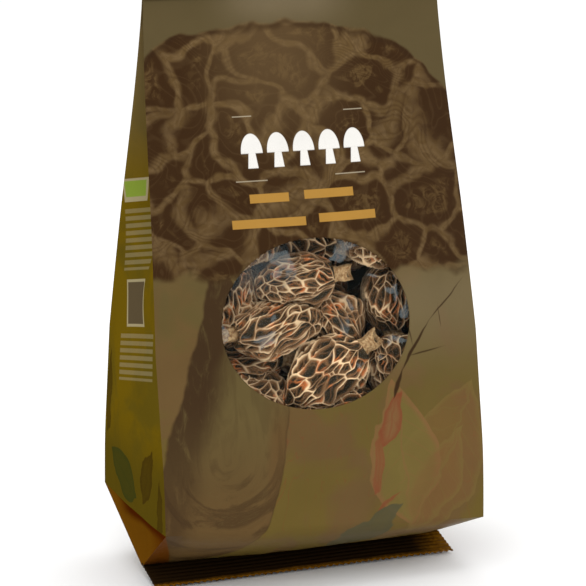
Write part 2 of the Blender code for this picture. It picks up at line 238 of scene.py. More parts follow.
def film_surface_group():
    """Handling marks of the film: fine wrinkles as a height, scuffed gloss, and a slightly uneven print."""
    tree, ins, outs = new_group("film_surface",
                                [("Place", "NodeSocketVector", None), ("Wear", "NodeSocketFloat", 0.5)],
                                [("Height", "NodeSocketFloat"), ("Roughness", "NodeSocketFloat"),
                                 ("Shade", "NodeSocketFloat")])
    wide = noise_value(tree, ins["Place"], 0.06, 2.0, 0.45, 0.5)
    fine = noise_value(tree, ins["Place"], 0.5, 2.0, 0.6, 0.0)
    tree.links.new(times_plus(tree, fine, 0.08, wide), outs["Height"])
    scuff = times(tree, mask_between(tree, fine, 0.45, 0.75), ins["Wear"])
    tree.links.new(times_plus(tree, scuff, 0.12, 0.40), outs["Roughness"])
    tree.links.new(times_plus(tree, wide, 0.20, 0.90), outs["Shade"])
    return tree


def printed_shape_group():
    """One leaf-shaped print: its filled area, its coloured rim and its veins, as masks on the panel."""
    tree, ins, outs = new_group(
        "printed_shape",
        [("Across", "NodeSocketFloat", 0.0), ("Up", "NodeSocketFloat", 0.0),
         ("Middle Across", "NodeSocketFloat", 0.0), ("Middle Up", "NodeSocketFloat", 0.0),
         ("Turn", "NodeSocketFloat", 0.0), ("Length", "NodeSocketFloat", 20.0),
         ("Width", "NodeSocketFloat", 8.0), ("Softness", "NodeSocketFloat", 0.6)],
        [("Area", "NodeSocketFloat"), ("Rim", "NodeSocketFloat"), ("Veins", "NodeSocketFloat")])
    dx = calc(tree, "SUBTRACT", ins["Across"], ins["Middle Across"])
    dz = calc(tree, "SUBTRACT", ins["Up"], ins["Middle Up"])
    cosine = calc(tree, "COSINE", ins["Turn"])
    sine = calc(tree, "SINE", ins["Turn"])
    along = calc(tree, "ADD", times(tree, dx, cosine), times(tree, dz, sine))
    aside = calc(tree, "SUBTRACT", times(tree, dz, cosine), times(tree, dx, sine))
    reach = calc(tree, "DIVIDE", along, ins["Length"])
    squared = times(tree, reach, reach)
    taper = calc(tree, "MAXIMUM", times_plus(tree, reach, -0.35, 1.0), 0.3)
    girth = times(tree, calc(tree, "SUBTRACT", 1.0, squared), taper)
    off = calc(tree, "ABSOLUTE", aside)
    inside = calc(tree, "SUBTRACT", times(tree, girth, ins["Width"]), off)
    area = add_node(tree, "ShaderNodeMapRange",
                    {"Value": inside, "From Min": 0.0, "From Max": ins["Softness"]},
                    interpolation_type="SMOOTHSTEP").outputs["Result"]
    tree.links.new(area, outs["Area"])
    rim = times(tree, area, mask_between(tree, inside, 3.2, 0.4))
    tree.links.new(rim, outs["Rim"])
    slanted = calc(tree, "PINGPONG", times_plus(tree, off, 0.8, along), 3.0)
    side_veins = mask_between(tree, slanted, 0.5, 0.15)
    midrib = mask_between(tree, off, 0.6, 0.25)
    tree.links.new(times(tree, area, calc(tree, "MAXIMUM", times(tree, side_veins, 0.5), midrib)),
                   outs["Veins"])
    return tree


FILM_SURFACE = film_surface_group()
PRINTED_SHAPE = printed_shape_group()


def film_material(name, paint, bump=0.2, wear=0.5, shine=0.04):
    """Printed film: paint(tree, place, x, y, z) gives its colour, and the film's own marks come on top."""
    material = bpy.data.materials.new(name)
    material.use_nodes = True
    tree = material.node_tree
    shader = tree.nodes["Principled BSDF"]
    place, x, y, z = millimetre_place(tree)
    marks = place_group(tree, FILM_SURFACE, {"Place": place, "Wear": wear})
    shade = add_node(tree, "ShaderNodeCombineColor",
                     {0: marks["Shade"], 1: marks["Shade"], 2: marks["Shade"]})
    color = blend(tree, 1.0, paint(tree, place, x, y, z), shade.outputs[0], "MULTIPLY")
    tree.links.new(color, shader.inputs["Base Color"])
    tree.links.new(marks["Roughness"], shader.inputs["Roughness"])
    relief = add_node(tree, "ShaderNodeBump",
                      {"Strength": bump, "Distance": 0.0012, "Height": marks["Height"]})
    tree.links.new(relief.outputs[0], shader.inputs["Normal"])
    shader.inputs["Specular IOR Level"].default_value = shine
    return material


OLIVE_TOP = (0.087, 0.063, 0.026)
OLIVE_LOW = (0.118, 0.080, 0.018)
OLIVE_WARM = (0.116, 0.069, 0.024)
CAP_RIDGE = (0.104, 0.061, 0.021)
CAP_PIT = (0.035, 0.0155, 0.0045)
CAP_LINE = (0.030, 0.014, 0.005)
CAP_LIGHT = (0.150, 0.094, 0.040)
STALK_DARK = (0.042, 0.022, 0.0085)
STALK_LIGHT = (0.104, 0.074, 0.026)
STALK_BROWN = (0.105, 0.056, 0.019)
LEAF_RED = (0.165, 0.040, 0.016)
LEAF_TAN = (0.150, 0.076, 0.026)
LEAF_OLIVE = (0.140, 0.105, 0.028)
LEAF_GREY = (0.070, 0.062, 0.030)
OLIVE_GLOW = (0.180, 0.138, 0.080)
LEAF_PINK = (0.185, 0.083, 0.034)
# The bottom's gold ink in painted light and shade: a shaded brown, a darker painted shadow under the crease,
# and the gold itself.
EAR_SHADED_GOLD = (0.090, 0.027, 0.0014)
EAR_CREASE_SHADOW = (0.056, 0.0105, 0.0006)
EAR_GOLD = (0.118, 0.046, 0.0025)
RULE_CREAM = (0.40, 0.34, 0.24)
RULE_MUSTARD = (0.40, 0.21, 0.040)
INK_WHITE = (0.74, 0.72, 0.68)
# The row of small mushroom shapes
ROW_MIDDLE_X = -1.3
ROW_HALF_PITCH = 4.35
ROW_HALF_LENGTH = 21.7
ROW_CAP_HALF = 3.6
ROW_CAP_HEIGHT = 6.0
ROW_BRIM_Z = 140.6
ROW_FOOT_Z = 135.9


def curve_value(tree, value, points):
    """A smooth rule through (input, output) points, such as an outline's place across at each height."""
    low, high = points[0][0], points[-1][0]
    floor = min(p[1] for p in points)
    reach = max(p[1] for p in points) - floor
    share = add_node(tree, "ShaderNodeMapRange",
                     {"Value": value, "From Min": low, "From Max": high}).outputs["Result"]
    made = add_node(tree, "ShaderNodeFloatCurve", {"Value": share})
    curve = made.mapping.curves[0]
    for k, (at, size) in enumerate(points):
        spot = ((at - low) / (high - low), (size - floor) / reach)
        if k < 2:
            curve.points[k].location = spot if k == 0 else (1.0, (points[-1][1] - floor) / reach)
        else:
            curve.points.new(*((points[k - 1][0] - low) / (high - low), (points[k - 1][1] - floor) / reach))
    made.mapping.update()
    return times_plus(tree, made.outputs[0], reach, floor)


def paint_cap(tree, place, x, z, under):
    """The big pitted mushroom cap printed over the upper half: curled dark pits between broad ridges."""
    bent = add_node(tree, "ShaderNodeTexNoise",
                    {"Vector": place, "Scale": 0.045, "Detail": 2.5}).outputs["Color"]
    sway = add_node(tree, "ShaderNodeVectorMath", {0: bent, 1: (-0.5, -0.5, -0.5)},
                    operation="ADD").outputs[0]
    moved = add_node(tree, "ShaderNodeVectorMath", {0: sway, 1: (26.0, 0.0, 26.0), 2: place},
                     operation="MULTIPLY_ADD")
    flat = add_node(tree, "ShaderNodeVectorMath", {0: moved.outputs[0], 1: (0.92, 0.0, 1.05)},
                    operation="MULTIPLY")
    cells = add_node(tree, "ShaderNodeTexVoronoi",
                     {"Vector": flat.outputs[0], "Scale": 0.066, "Randomness": 0.95},
                     feature="DISTANCE_TO_EDGE").outputs["Distance"]
    streak = noise_value(tree, place, 0.22, 4.0, 0.65, 1.5)
    cells = times_plus(tree, streak, 0.10, calc(tree, "SUBTRACT", cells, 0.05))
    pit = mask_between(tree, cells, 0.02, 0.12)
    rings = calc(tree, "PINGPONG", cells, 0.045)
    lines = times(tree, mask_between(tree, rings, 0.018, 0.002), mask_between(tree, streak, 0.38, 0.55))
    smudge = times(tree, mask_between(tree, cells, 0.20, 0.32), mask_between(tree, streak, 0.42, 0.6))
    ridge_color = blend(tree, mask_between(tree, streak, 0.35, 0.68), CAP_RIDGE, CAP_LIGHT)
    pit_color = blend(tree, times(tree, smudge, 0.8), CAP_PIT, CAP_RIDGE)
    skin = blend(tree, pit, ridge_color, pit_color)
    skin = blend(tree, times(tree, lines, 0.22), skin, CAP_LINE)
    curls = noise_value(tree, place, 0.034, 1.5, 0.45, 1.6)
    folds = calc(tree, "PINGPONG", curls, 0.030)
    swell = mask_between(tree, folds, 0.004, 0.026)
    skin = blend(tree, times(tree, swell, 0.20), skin, CAP_PIT)
    skin = blend(tree, times(tree, mask_between(tree, folds, 0.0090, 0.0005), 0.12), skin, CAP_LIGHT)
    skin = blend(tree, times(tree, mask_between(tree, folds, 0.0200, 0.0295), 0.18), skin, CAP_LINE)
    broad = mask_between(tree, noise_value(tree, place, 0.028, 1.0), 0.35, 0.65)
    broad = calc(tree, "MAXIMUM", broad, mask_between(tree, x, 16.0, 34.0))
    skin = blend(tree, times(tree, broad, 0.28), skin, CAP_PIT)
    # Painted highlight: the middle of the cap is lightened, more so towards its top, where the film would
    # catch the light.
    middle = mask_between(tree, calc(tree, "ABSOLUTE", calc(tree, "ADD", x, 8.0)), 34.0, 4.0)
    lit = times(tree, middle, mask_between(tree, z, 128.0, 172.0))
    skin = blend(tree, times(tree, lit, 0.42), skin, CAP_LIGHT)
    top = curve_value(tree, x,
                      ((-56, 166), (-46, 174), (-36, 178), (-8, 180), (18, 178), (36, 171), (50, 157),
                       (56, 152)))
    lumps = times_plus(tree, noise_value(tree, place, 0.10, 1.5), 8.0, -4.0)
    above = calc(tree, "SUBTRACT", calc(tree, "ADD", top, lumps), z)
    below = calc(tree, "SUBTRACT", times_plus(tree, lumps, 1.4, z), times_plus(tree, x, -0.045, 101.5))
    region = times(tree, mask_between(tree, above, -0.4, 1.2), mask_between(tree, below, -1.0, 2.6))
    outline = times(tree, mask_between(tree, above, 0.3, 1.3), mask_between(tree, above, 3.0, 1.4))
    painted = blend(tree, region, under, skin)
    return blend(tree, times(tree, outline, 0.55), painted, CAP_LINE)


def paint_stalk(tree, place, x, z, under):
    """The stalk under the printed cap: a dark streak down its left, a brown right edge and a swirled foot."""
    left = curve_value(tree, z, ((10, -62), (40, -57), (60, -51), (80, -44), (106, -37)))
    right = curve_value(tree, z,
                        ((8, -34), (18, -24), (30, -18), (45, -15), (62, -13), (84, -22), (106, -30)))
    wave = times_plus(tree, noise_value(tree, place, 0.07, 3.0), 7.0, -3.5)
    inset = calc(tree, "SUBTRACT", calc(tree, "ADD", x, wave), left)
    outset = calc(tree, "SUBTRACT", right, times_plus(tree, wave, 0.5, x))
    grain_place = add_node(tree, "ShaderNodeVectorMath", {0: place, 1: (1.0, 1.0, 0.25)},
                           operation="MULTIPLY")
    grain = noise_value(tree, grain_place.outputs[0], 0.28, 4.0, 0.62, 1.0)
    side = calc(tree, "ADD", x, 34.0)
    drop = calc(tree, "MINIMUM", calc(tree, "SUBTRACT", z, 46.0), 0.0)
    bend = calc(tree, "SQRT", calc(tree, "ADD", times(tree, side, side), times(tree, drop, drop)))
    flow = add_node(tree, "ShaderNodeCombineXYZ", {0: times(tree, bend, 2.6), 1: times(tree, side, 0.5),
                                                   2: times(tree, z, 0.45)})
    curl = noise_value(tree, flow.outputs[0], 0.085, 5.0, 0.62, 1.2)
    foot = mask_between(tree, z, 66.0, 26.0)
    streak = times(tree, mask_between(tree, inset, 18.0, 7.0), mask_between(tree, grain, 0.15, 0.48))
    flank = times(tree, mask_between(tree, outset, 9.5, 3.0), mask_between(tree, z, 70.0, 52.0))
    swirl = times(tree, calc(tree, "MAXIMUM", foot, 0.35), mask_between(tree, curl, 0.44, 0.60))
    brown = calc(tree, "MAXIMUM", times(tree, flank, 0.8), times(tree, foot, 0.75))
    skin = blend(tree, brown, STALK_LIGHT, STALK_BROWN)
    skin = blend(tree, times(tree, swirl, 0.62), skin, STALK_DARK)
    veins = times(tree, mask_between(tree, calc(tree, "PINGPONG", curl, 0.035), 0.008, 0.0), foot)
    skin = blend(tree, times(tree, veins, 0.4), skin, STALK_LIGHT)
    firm = times_plus(tree, mask_between(tree, z, 40.0, 66.0), 0.3, 0.68)
    skin = blend(tree, times(tree, streak, firm), skin, STALK_DARK)
    edge = times(tree, mask_between(tree, outset, 1.1, 0.3), mask_between(tree, z, 74.0, 60.0))
    skin = blend(tree, times(tree, edge, 0.6), skin, STALK_DARK)
    inside = times(tree, mask_between(tree, inset, 0.0, 1.2), mask_between(tree, outset, 0.0, 0.7))
    inside = times(tree, inside, mask_between(tree, z, 108.0, 102.0))
    return blend(tree, inside, under, skin)


def paint_shape(tree, x, z, under, shape, fill, rim, strength=0.8):
    """Lays one leaf-shaped print over what is under it, with its rim and its veins."""
    across, up, degrees, length, width = shape
    ins = {"Across": x, "Up": z, "Middle Across": across, "Middle Up": up,
           "Turn": math.radians(degrees), "Length": length, "Width": width}
    masks = place_group(tree, PRINTED_SHAPE, ins)
    laid = blend(tree, times(tree, masks["Area"], strength), under, fill)
    laid = blend(tree, times(tree, masks["Rim"], 0.9 * strength), laid, rim)
    return blend(tree, times(tree, masks["Veins"], 0.35), laid, rim)


def paint_band(tree, x, z, under, middle, half, color, strength):
    """A plain rounded bar: middle and half are (across, up) sizes in millimetres."""
    dx = calc(tree, "SUBTRACT", calc(tree, "ABSOLUTE", calc(tree, "SUBTRACT", x, middle[0])), half[0])
    dz = calc(tree, "SUBTRACT", calc(tree, "ABSOLUTE", calc(tree, "SUBTRACT", z, middle[1])), half[1])
    inside = mask_between(tree, calc(tree, "MAXIMUM", dx, dz), 0.12, -0.12)
    return blend(tree, times(tree, inside, strength), under, color)


def paint_mushroom_row(tree, x, z, under):
    """A plain ornament across the panel: five small mushroom shapes in cream, evenly spaced."""
    step = calc(tree, "ABSOLUTE",
                calc(tree, "WRAP", calc(tree, "ADD", x, -ROW_MIDDLE_X), ROW_HALF_PITCH, -ROW_HALF_PITCH))
    wide = calc(tree, "DIVIDE", step, ROW_CAP_HALF)
    tall = calc(tree, "DIVIDE", calc(tree, "SUBTRACT", z, ROW_BRIM_Z), ROW_CAP_HEIGHT)
    round_top = calc(tree, "ADD", times(tree, wide, wide), times(tree, tall, tall))
    cap = times(tree, mask_between(tree, round_top, 1.05, 0.95),
               mask_between(tree, z, ROW_BRIM_Z - 0.2, ROW_BRIM_Z + 0.2))
    stem_half = times_plus(tree, calc(tree, "SUBTRACT", ROW_BRIM_Z, z), 0.12, 1.15)
    stem = times(tree, mask_between(tree, calc(tree, "SUBTRACT", step, stem_half), 0.12, -0.12),
                mask_between(tree, z, ROW_FOOT_Z, ROW_FOOT_Z + 0.3))
    stem = times(tree, stem, mask_between(tree, z, ROW_BRIM_Z + 0.4, ROW_BRIM_Z))
    shape = calc(tree, "MAXIMUM", cap, stem)
    row = mask_between(tree, calc(tree, "ABSOLUTE", calc(tree, "ADD", x, -ROW_MIDDLE_X)),
                       ROW_HALF_LENGTH + 0.1, ROW_HALF_LENGTH - 0.1)
    return blend(tree, times(tree, shape, row), under, INK_WHITE)


def paint_front(tree, place, x, y, z):
    """The front panel's print: olive ground, mushroom cap and stalk, autumn leaves, twigs and thin rules."""
    ground = blend(tree, mask_between(tree, z, 20.0, 150.0), OLIVE_LOW, OLIVE_TOP)
    # Painted highlight: a pale patch at the top middle of the front, where the film would catch the light.
    top_highlight = times(tree, mask_between(tree, calc(tree, "ABSOLUTE", calc(tree, "ADD", x, 3.0)), 30.0, 6.0),
                mask_between(tree, z, 174.0, 190.0))
    ground = blend(tree, times(tree, top_highlight, 0.7), ground, OLIVE_GLOW)
    patch = mask_between(tree, noise_value(tree, place, 0.035, 3.0, 0.6, 0.8), 0.45, 0.62)
    ground = blend(tree, times(tree, patch, mask_between(tree, z, 120.0, 80.0)), ground, OLIVE_WARM)
    light_band = times(tree, mask_between(tree, z, 62.0, 90.0), mask_between(tree, z, 112.0, 92.0))
    light_band = times(tree, light_band, mask_between(tree, x, -44.0, 8.0))
    ground = blend(tree, times(tree, light_band, 0.4), ground, OLIVE_GLOW)
    tall = add_node(tree, "ShaderNodeVectorMath", {0: place, 1: (1.0, 1.0, 0.35)}, operation="MULTIPLY")
    veins = calc(tree, "PINGPONG", noise_value(tree, tall.outputs[0], 0.05, 3.0, 0.55, 0.9), 0.035)
    veins = times(tree, mask_between(tree, veins, 0.0028, 0.0004), mask_between(tree, z, 66.0, 54.0))
    ground = blend(tree, times(tree, veins, 0.30), ground, LEAF_RED)
    wobble = times_plus(tree, noise_value(tree, place, 0.1, 2.5), 7.0, -3.5)
    wx = calc(tree, "ADD", x, wobble)
    wz = calc(tree, "SUBTRACT", z, wobble)
    laid = paint_shape(tree, wx, wz, ground, (41.0, 40.0, 66.0, 27.0, 15.0), LEAF_TAN, LEAF_OLIVE, 0.45)
    laid = paint_shape(tree, wx, wz, laid, (26.0, 43.0, 96.0, 24.0, 13.0), LEAF_OLIVE, LEAF_PINK, 0.7)
    laid = paint_shape(tree, wx, wz, laid, (38.0, 33.0, 60.0, 20.0, 8.0), LEAF_TAN, LEAF_OLIVE, 0.5)
    laid = paint_shape(tree, wx, wz, laid, (22.0, 55.0, 68.0, 10.0, 3.8), LEAF_PINK, LEAF_RED, 0.75)
    laid = paint_shape(tree, wx, wz, laid, (16.5, 42.0, 84.0, 12.0, 2.2), LEAF_PINK, LEAF_RED, 0.55)
    laid = paint_shape(tree, wx, wz, laid, (21.0, 27.5, 35.0, 6.0, 1.2), LEAF_PINK, LEAF_RED, 0.5)
    laid = paint_shape(tree, wx, wz, laid, (15.0, 18.0, 38.0, 14.0, 6.0), LEAF_GREY, LEAF_GREY, 0.8)
    for twig in ((32.0, 77.5, 55.0, 11.0, 0.75), (25.0, 66.0, 70.0, 6.0, 0.85),
                 (44.5, 91.0, 40.0, 12.0, 0.45), (36.0, 75.0, 8.0, 8.0, 0.45),
                 (30.0, 83.0, 100.0, 7.0, 0.40), (41.0, 86.0, 95.0, 5.0, 0.35)):
        laid = paint_shape(tree, times_plus(tree, wobble, 0.4, x), z, laid, twig, CAP_LINE, CAP_LINE, 0.8)
    laid = paint_stalk(tree, place, x, z, laid)
    laid = paint_cap(tree, place, x, z, laid)
    for middle in ((-20.8, 151.9), (17.0, 152.3), (-19.7, 132.2), (13.7, 132.8)):
        half = (3.2, 0.16) if middle[1] > 140 else (5.2, 0.16)
        laid = paint_band(tree, x, z, laid, middle, half, RULE_CREAM, 0.75)
    laid = paint_mushroom_row(tree, x, z, laid)
    for middle, half in (((-14.5, 126.8), 6.5), ((5.6, 127.2), 8.4), ((-15.3, 119.2), 12.2),
                         ((11.2, 119.8), 9.8)):
        laid = paint_band(tree, x, z, laid, middle, (half, 1.35), RULE_MUSTARD, 0.9)
    # The ear is the gold ink, laid in its painted shaded tone.
    fold = times_plus(tree, z, EAR_FOLD_SLOPE, x)
    folded = mask_between(tree, fold, EAR_FOLD_X + 0.15, EAR_FOLD_X - 0.15)
    folded = times(tree, folded, mask_between(tree, z, EAR_TOP_Z + 0.1, EAR_TOP_Z - 0.1))
    return blend(tree, folded, laid, EAR_SHADED_GOLD)


FRONT_FILM = film_material("front_print", paint_front)

GUSSET_TOP = (0.150, 0.105, 0.040)
GUSSET_GOLD = (0.120, 0.074, 0.0030)
GUSSET_GREEN = (0.092, 0.062, 0.0050)
GUSSET_LEAF = (0.034, 0.036, 0.0060)
GUSSET_LOW = (0.078, 0.052, 0.0040)
GUSSET_BROWN = (0.045, 0.026, 0.0030)
GUSSET_PALE = (0.34, 0.29, 0.17)
GUSSET_LABEL = (0.17, 0.25, 0.020)
# The bars and frames stand level on the crooked gusset, and the square leans with its folds
GUSSET_SLOPE = 0.213
SQUARE_MIDDLE_Z = 92.3
SQUARE_LEAN = -0.51
SQUARE_NARROWING = -0.0268


def paint_gusset(tree, place, x, y, z):
    """The side panels: gold-olive with plain pale bars, one patch and one square, and leaves below."""
    cloud = noise_value(tree, place, 0.04, 3.0, 0.6, 0.6)
    ground = blend(tree, mask_between(tree, cloud, 0.4, 0.62), GUSSET_GOLD, GUSSET_GREEN)
    ground = blend(tree, mask_between(tree, z, 58.0, 34.0), ground, GUSSET_LOW)
    ground = blend(tree, mask_between(tree, z, 120.0, 178.0), ground, GUSSET_TOP)
    wobble = times_plus(tree, noise_value(tree, place, 0.11, 3.0), 9.0, -4.5)
    wy = calc(tree, "ADD", y, wobble)
    for leaf, color, strength in (((9.0, 34.0, 20.0, 15.0, 7.5), GUSSET_LEAF, 0.75),
                                  ((-16.0, 39.0, 118.0, 12.0, 5.0), GUSSET_BROWN, 0.7),
                                  ((24.0, 58.0, 100.0, 16.0, 4.0), GUSSET_BROWN, 0.6),
                                  ((-27.0, 30.0, 92.0, 12.0, 3.0), GUSSET_BROWN, 0.6)):
        ground = paint_shape(tree, wy, z, ground, leaf, color, color, strength)
    level = times_plus(tree, y, GUSSET_SLOPE, z)
    stripe = mask_between(tree, calc(tree, "PINGPONG", level, 1.2), 0.85, 0.55)
    for low, high, near, far in ((103.0, 123.6, -1.0, 14.0), (67.0, 83.2, -20.7, 11.5)):
        tall = times(tree, mask_between(tree, level, low - 0.2, low + 0.2),
                    mask_between(tree, level, high + 0.2, high - 0.2))
        wide = times(tree, mask_between(tree, y, near - 0.2, near + 0.2),
                    mask_between(tree, y, far + 0.2, far - 0.2))
        bars = times(tree, times(tree, tall, wide), stripe)
        ground = blend(tree, times(tree, bars, 0.28), ground, GUSSET_PALE)
    rise = calc(tree, "SUBTRACT", level, SQUARE_MIDDLE_Z)
    sheared = calc(tree, "DIVIDE", times_plus(tree, rise, SQUARE_LEAN, calc(tree, "SUBTRACT", y, 2.0)),
                   times_plus(tree, rise, SQUARE_NARROWING, 1.0))
    ground = paint_band(tree, y, level, ground, (10.2, 129.2), (3.6, 3.8), GUSSET_PALE, 0.8)
    ground = paint_band(tree, y, level, ground, (10.2, 129.6), (3.0, 2.6), GUSSET_LABEL, 0.9)
    ground = paint_band(tree, sheared, level, ground, (0.0, SQUARE_MIDDLE_Z), (7.1, 7.7), GUSSET_PALE, 0.75)
    return paint_band(tree, sheared, level, ground, (0.0, SQUARE_MIDDLE_Z), (6.2, 6.8), CAP_LINE, 0.8)


def paint_back(tree, place, x, y, z):
    """The back panel: the same olive ground and pitted cap, and nothing else."""
    ground = blend(tree, mask_between(tree, z, 20.0, 150.0), OLIVE_LOW, OLIVE_TOP)
    cloud = noise_value(tree, place, 0.035, 3.0, 0.6, 0.8)
    ground = blend(tree, mask_between(tree, cloud, 0.45, 0.65), ground, OLIVE_WARM)
    return paint_cap(tree, place, x, z, ground)


def paint_under(tree, place, x, y, z):
    """The folded bottom's gold ink with painted shade: a dark red-brown painted shadow under the crease, a
    painted shaded brown towards the front, and gold towards the fin.
    """
    cloud = noise_value(tree, place, 0.06, 2.0, 0.5, 0.5)
    drop = times_plus(tree, cloud, 3.0, times_plus(tree, y, 0.06, z))
    # Painted shadow: a dark red-brown band in the recess under the crease.
    dark = times(tree, mask_between(tree, drop, 18.5, 22.5), mask_between(tree, y, 22.0, 8.0))
    # Painted shade: the gold turns a shaded brown towards the front.
    gold = blend(tree, mask_between(tree, y, -26.0, -6.0), EAR_SHADED_GOLD, EAR_GOLD)
    return blend(tree, dark, gold, EAR_CREASE_SHADOW)


GUSSET_FILM = film_material("gusset_print", paint_gusset, shine=0.0)
BACK_FILM = film_material("back_print", paint_back)
UNDER_FILM = film_material("gold_ink", paint_under, shine=0.0)

FRONT_STEPS = 72
SIDE_STEPS = 32
WALL_ROWS = 124
WEDGE_ROWS = 22
HOLE_RINGS = 7


def ring_shares(steps, edge=0.010):
    """Places from -1 to 1 across a panel, evenly spaced but for one narrow step beside each fold."""
    middle = np.linspace(-1 + edge, 1 - edge, steps - 1)
    return np.concatenate([[-1.0], middle, [1.0]])


def fold_fade(share, width):
    """0 at the fold lines and 1 away from them, so that relief leaves the folds straight."""
    return smooth_step(0.0, width, 1 - np.abs(share))


def front_place(share, z):
    """Places on the front panel above the crease, from the share across and the height."""
    half = panel_half(z)
    depth = level_curve(DEPTH_LEVELS, z)
    crown = level_curve(CROWN_LEVELS, z)
    x = share * half
    relief = film_relief(x, z, 1.0) * fold_fade(share, 0.14) * smooth_step(190, 178, z)
    near_window = np.hypot((x - WINDOW_X) / WINDOW_HALF_WIDTH, (z - WINDOW_Z) / WINDOW_HALF_HEIGHT)
    relief = relief * (0.35 + 0.65 * smooth_step(0.95, 1.35, near_window))
    return np.stack([x, -(depth + crown * (1 - share ** 2) + relief), z + 0 * x], axis=-1)


def back_place(share, z):
    half = panel_half(z)
    depth = level_curve(DEPTH_LEVELS, z)
    crown = level_curve(CROWN_LEVELS, z)
    x = share * half
    relief = film_relief(x, z, 5.0) * fold_fade(share, 0.14) * smooth_step(190, 178, z)
    seam = 0.45 * smooth_step(5.6, 5.2, np.abs(x)) * smooth_step(189, 185, z)
    return np.stack([x, depth + crown * (1 - share ** 2) + relief + seam, z + 0 * x], axis=-1)


def gusset_place(sign, step, z):
    """Places on a gusset: step goes from -1 at the front fold to 1 at the back fold."""
    half = panel_half(z)
    depth = level_curve(DEPTH_LEVELS, z)
    tuck = level_curve(TUCK_LEVELS, z)
    bow = np.where(tuck > 0, (1 - np.abs(step)), 1 - step ** 2)
    relief = 0.6 * film_relief(step * depth * 1.4, z, 9.0 + sign)
    relief = relief * fold_fade(step, 0.25) * smooth_step(150, 110, z)
    x = half - tuck * bow + relief
    depth = depth - LAYER_GAP * smooth_step(0.0, 0.05, 1 - np.abs(step))
    return np.stack([sign * x, step * depth, z + 0 * x], axis=-1)


def wedge_ring(step):
    """One ring of the folded bottom: step 1 is the crease and step 0 the root of the fin seal."""
    shares = ring_shares(FRONT_STEPS)
    sides = np.linspace(-1, 1, SIDE_STEPS + 1)[1:-1]
    swell = math.sin(math.pi * step)
    half = ROOT_HALF + (PANEL_HALF - ROOT_HALF) * step
    depth = HALF_DEPTH * step
    line = ROOT_Z + (crease_z(shares) - ROOT_Z) * step
    turn = math.acos(min(step, 1.0))
    arc_z = ROOT_Z + (crease_z(shares) - ROOT_Z) * (1 - math.sin(turn))
    round_share = WEDGE_ROUNDNESS * (1 - shares ** 4)
    z_front = line + (arc_z - line) * round_share - WEDGE_SAG * swell * (1 - shares ** 2)
    dent = 0.5 * soft_noise(shares * half, step * 20, 3.0, 9.0, 4.0) * swell * fold_fade(shares, 0.2)
    front = np.stack([shares * half, -(depth + step * (1 - shares ** 2)), z_front + dent], axis=-1)
    z_back = np.maximum(0.0, line - WEDGE_BELLY * (1 - shares ** 4))
    back = np.stack([shares * half, depth + step * (1 - shares ** 2), z_back], axis=-1)
    tuck = WEDGE_TUCK * swell * (1 - np.abs(sides)) ** 0.8
    right = np.stack([half - tuck, sides * depth,
                      np.full(sides.shape, ROOT_Z + (CREASE_RIGHT_Z - ROOT_Z) * step)], axis=-1)
    left = right * (-1, 1, 1)
    left[:, 2] = ROOT_Z + (CREASE_LEFT_Z - ROOT_Z) * step
    return np.concatenate([front, right, back[::-1], left[::-1]])


def wall_ring(rise):
    """One ring of the upright walls: rise 0 is the bottom crease and rise 1 the foot of the top seal."""
    shares = ring_shares(FRONT_STEPS)
    sides = np.linspace(-1, 1, SIDE_STEPS + 1)[1:-1]
    z_panel = crease_z(shares) + (SEAL_FOOT_Z - crease_z(shares)) * rise
    z_left, z_right = z_panel[0], z_panel[-1]
    front = front_place(shares, z_panel)
    back = back_place(shares, z_panel)
    right = gusset_place(1, sides, z_right)
    left = gusset_place(-1, sides, z_left)
    return np.concatenate([front, right, back[::-1], left[::-1]])


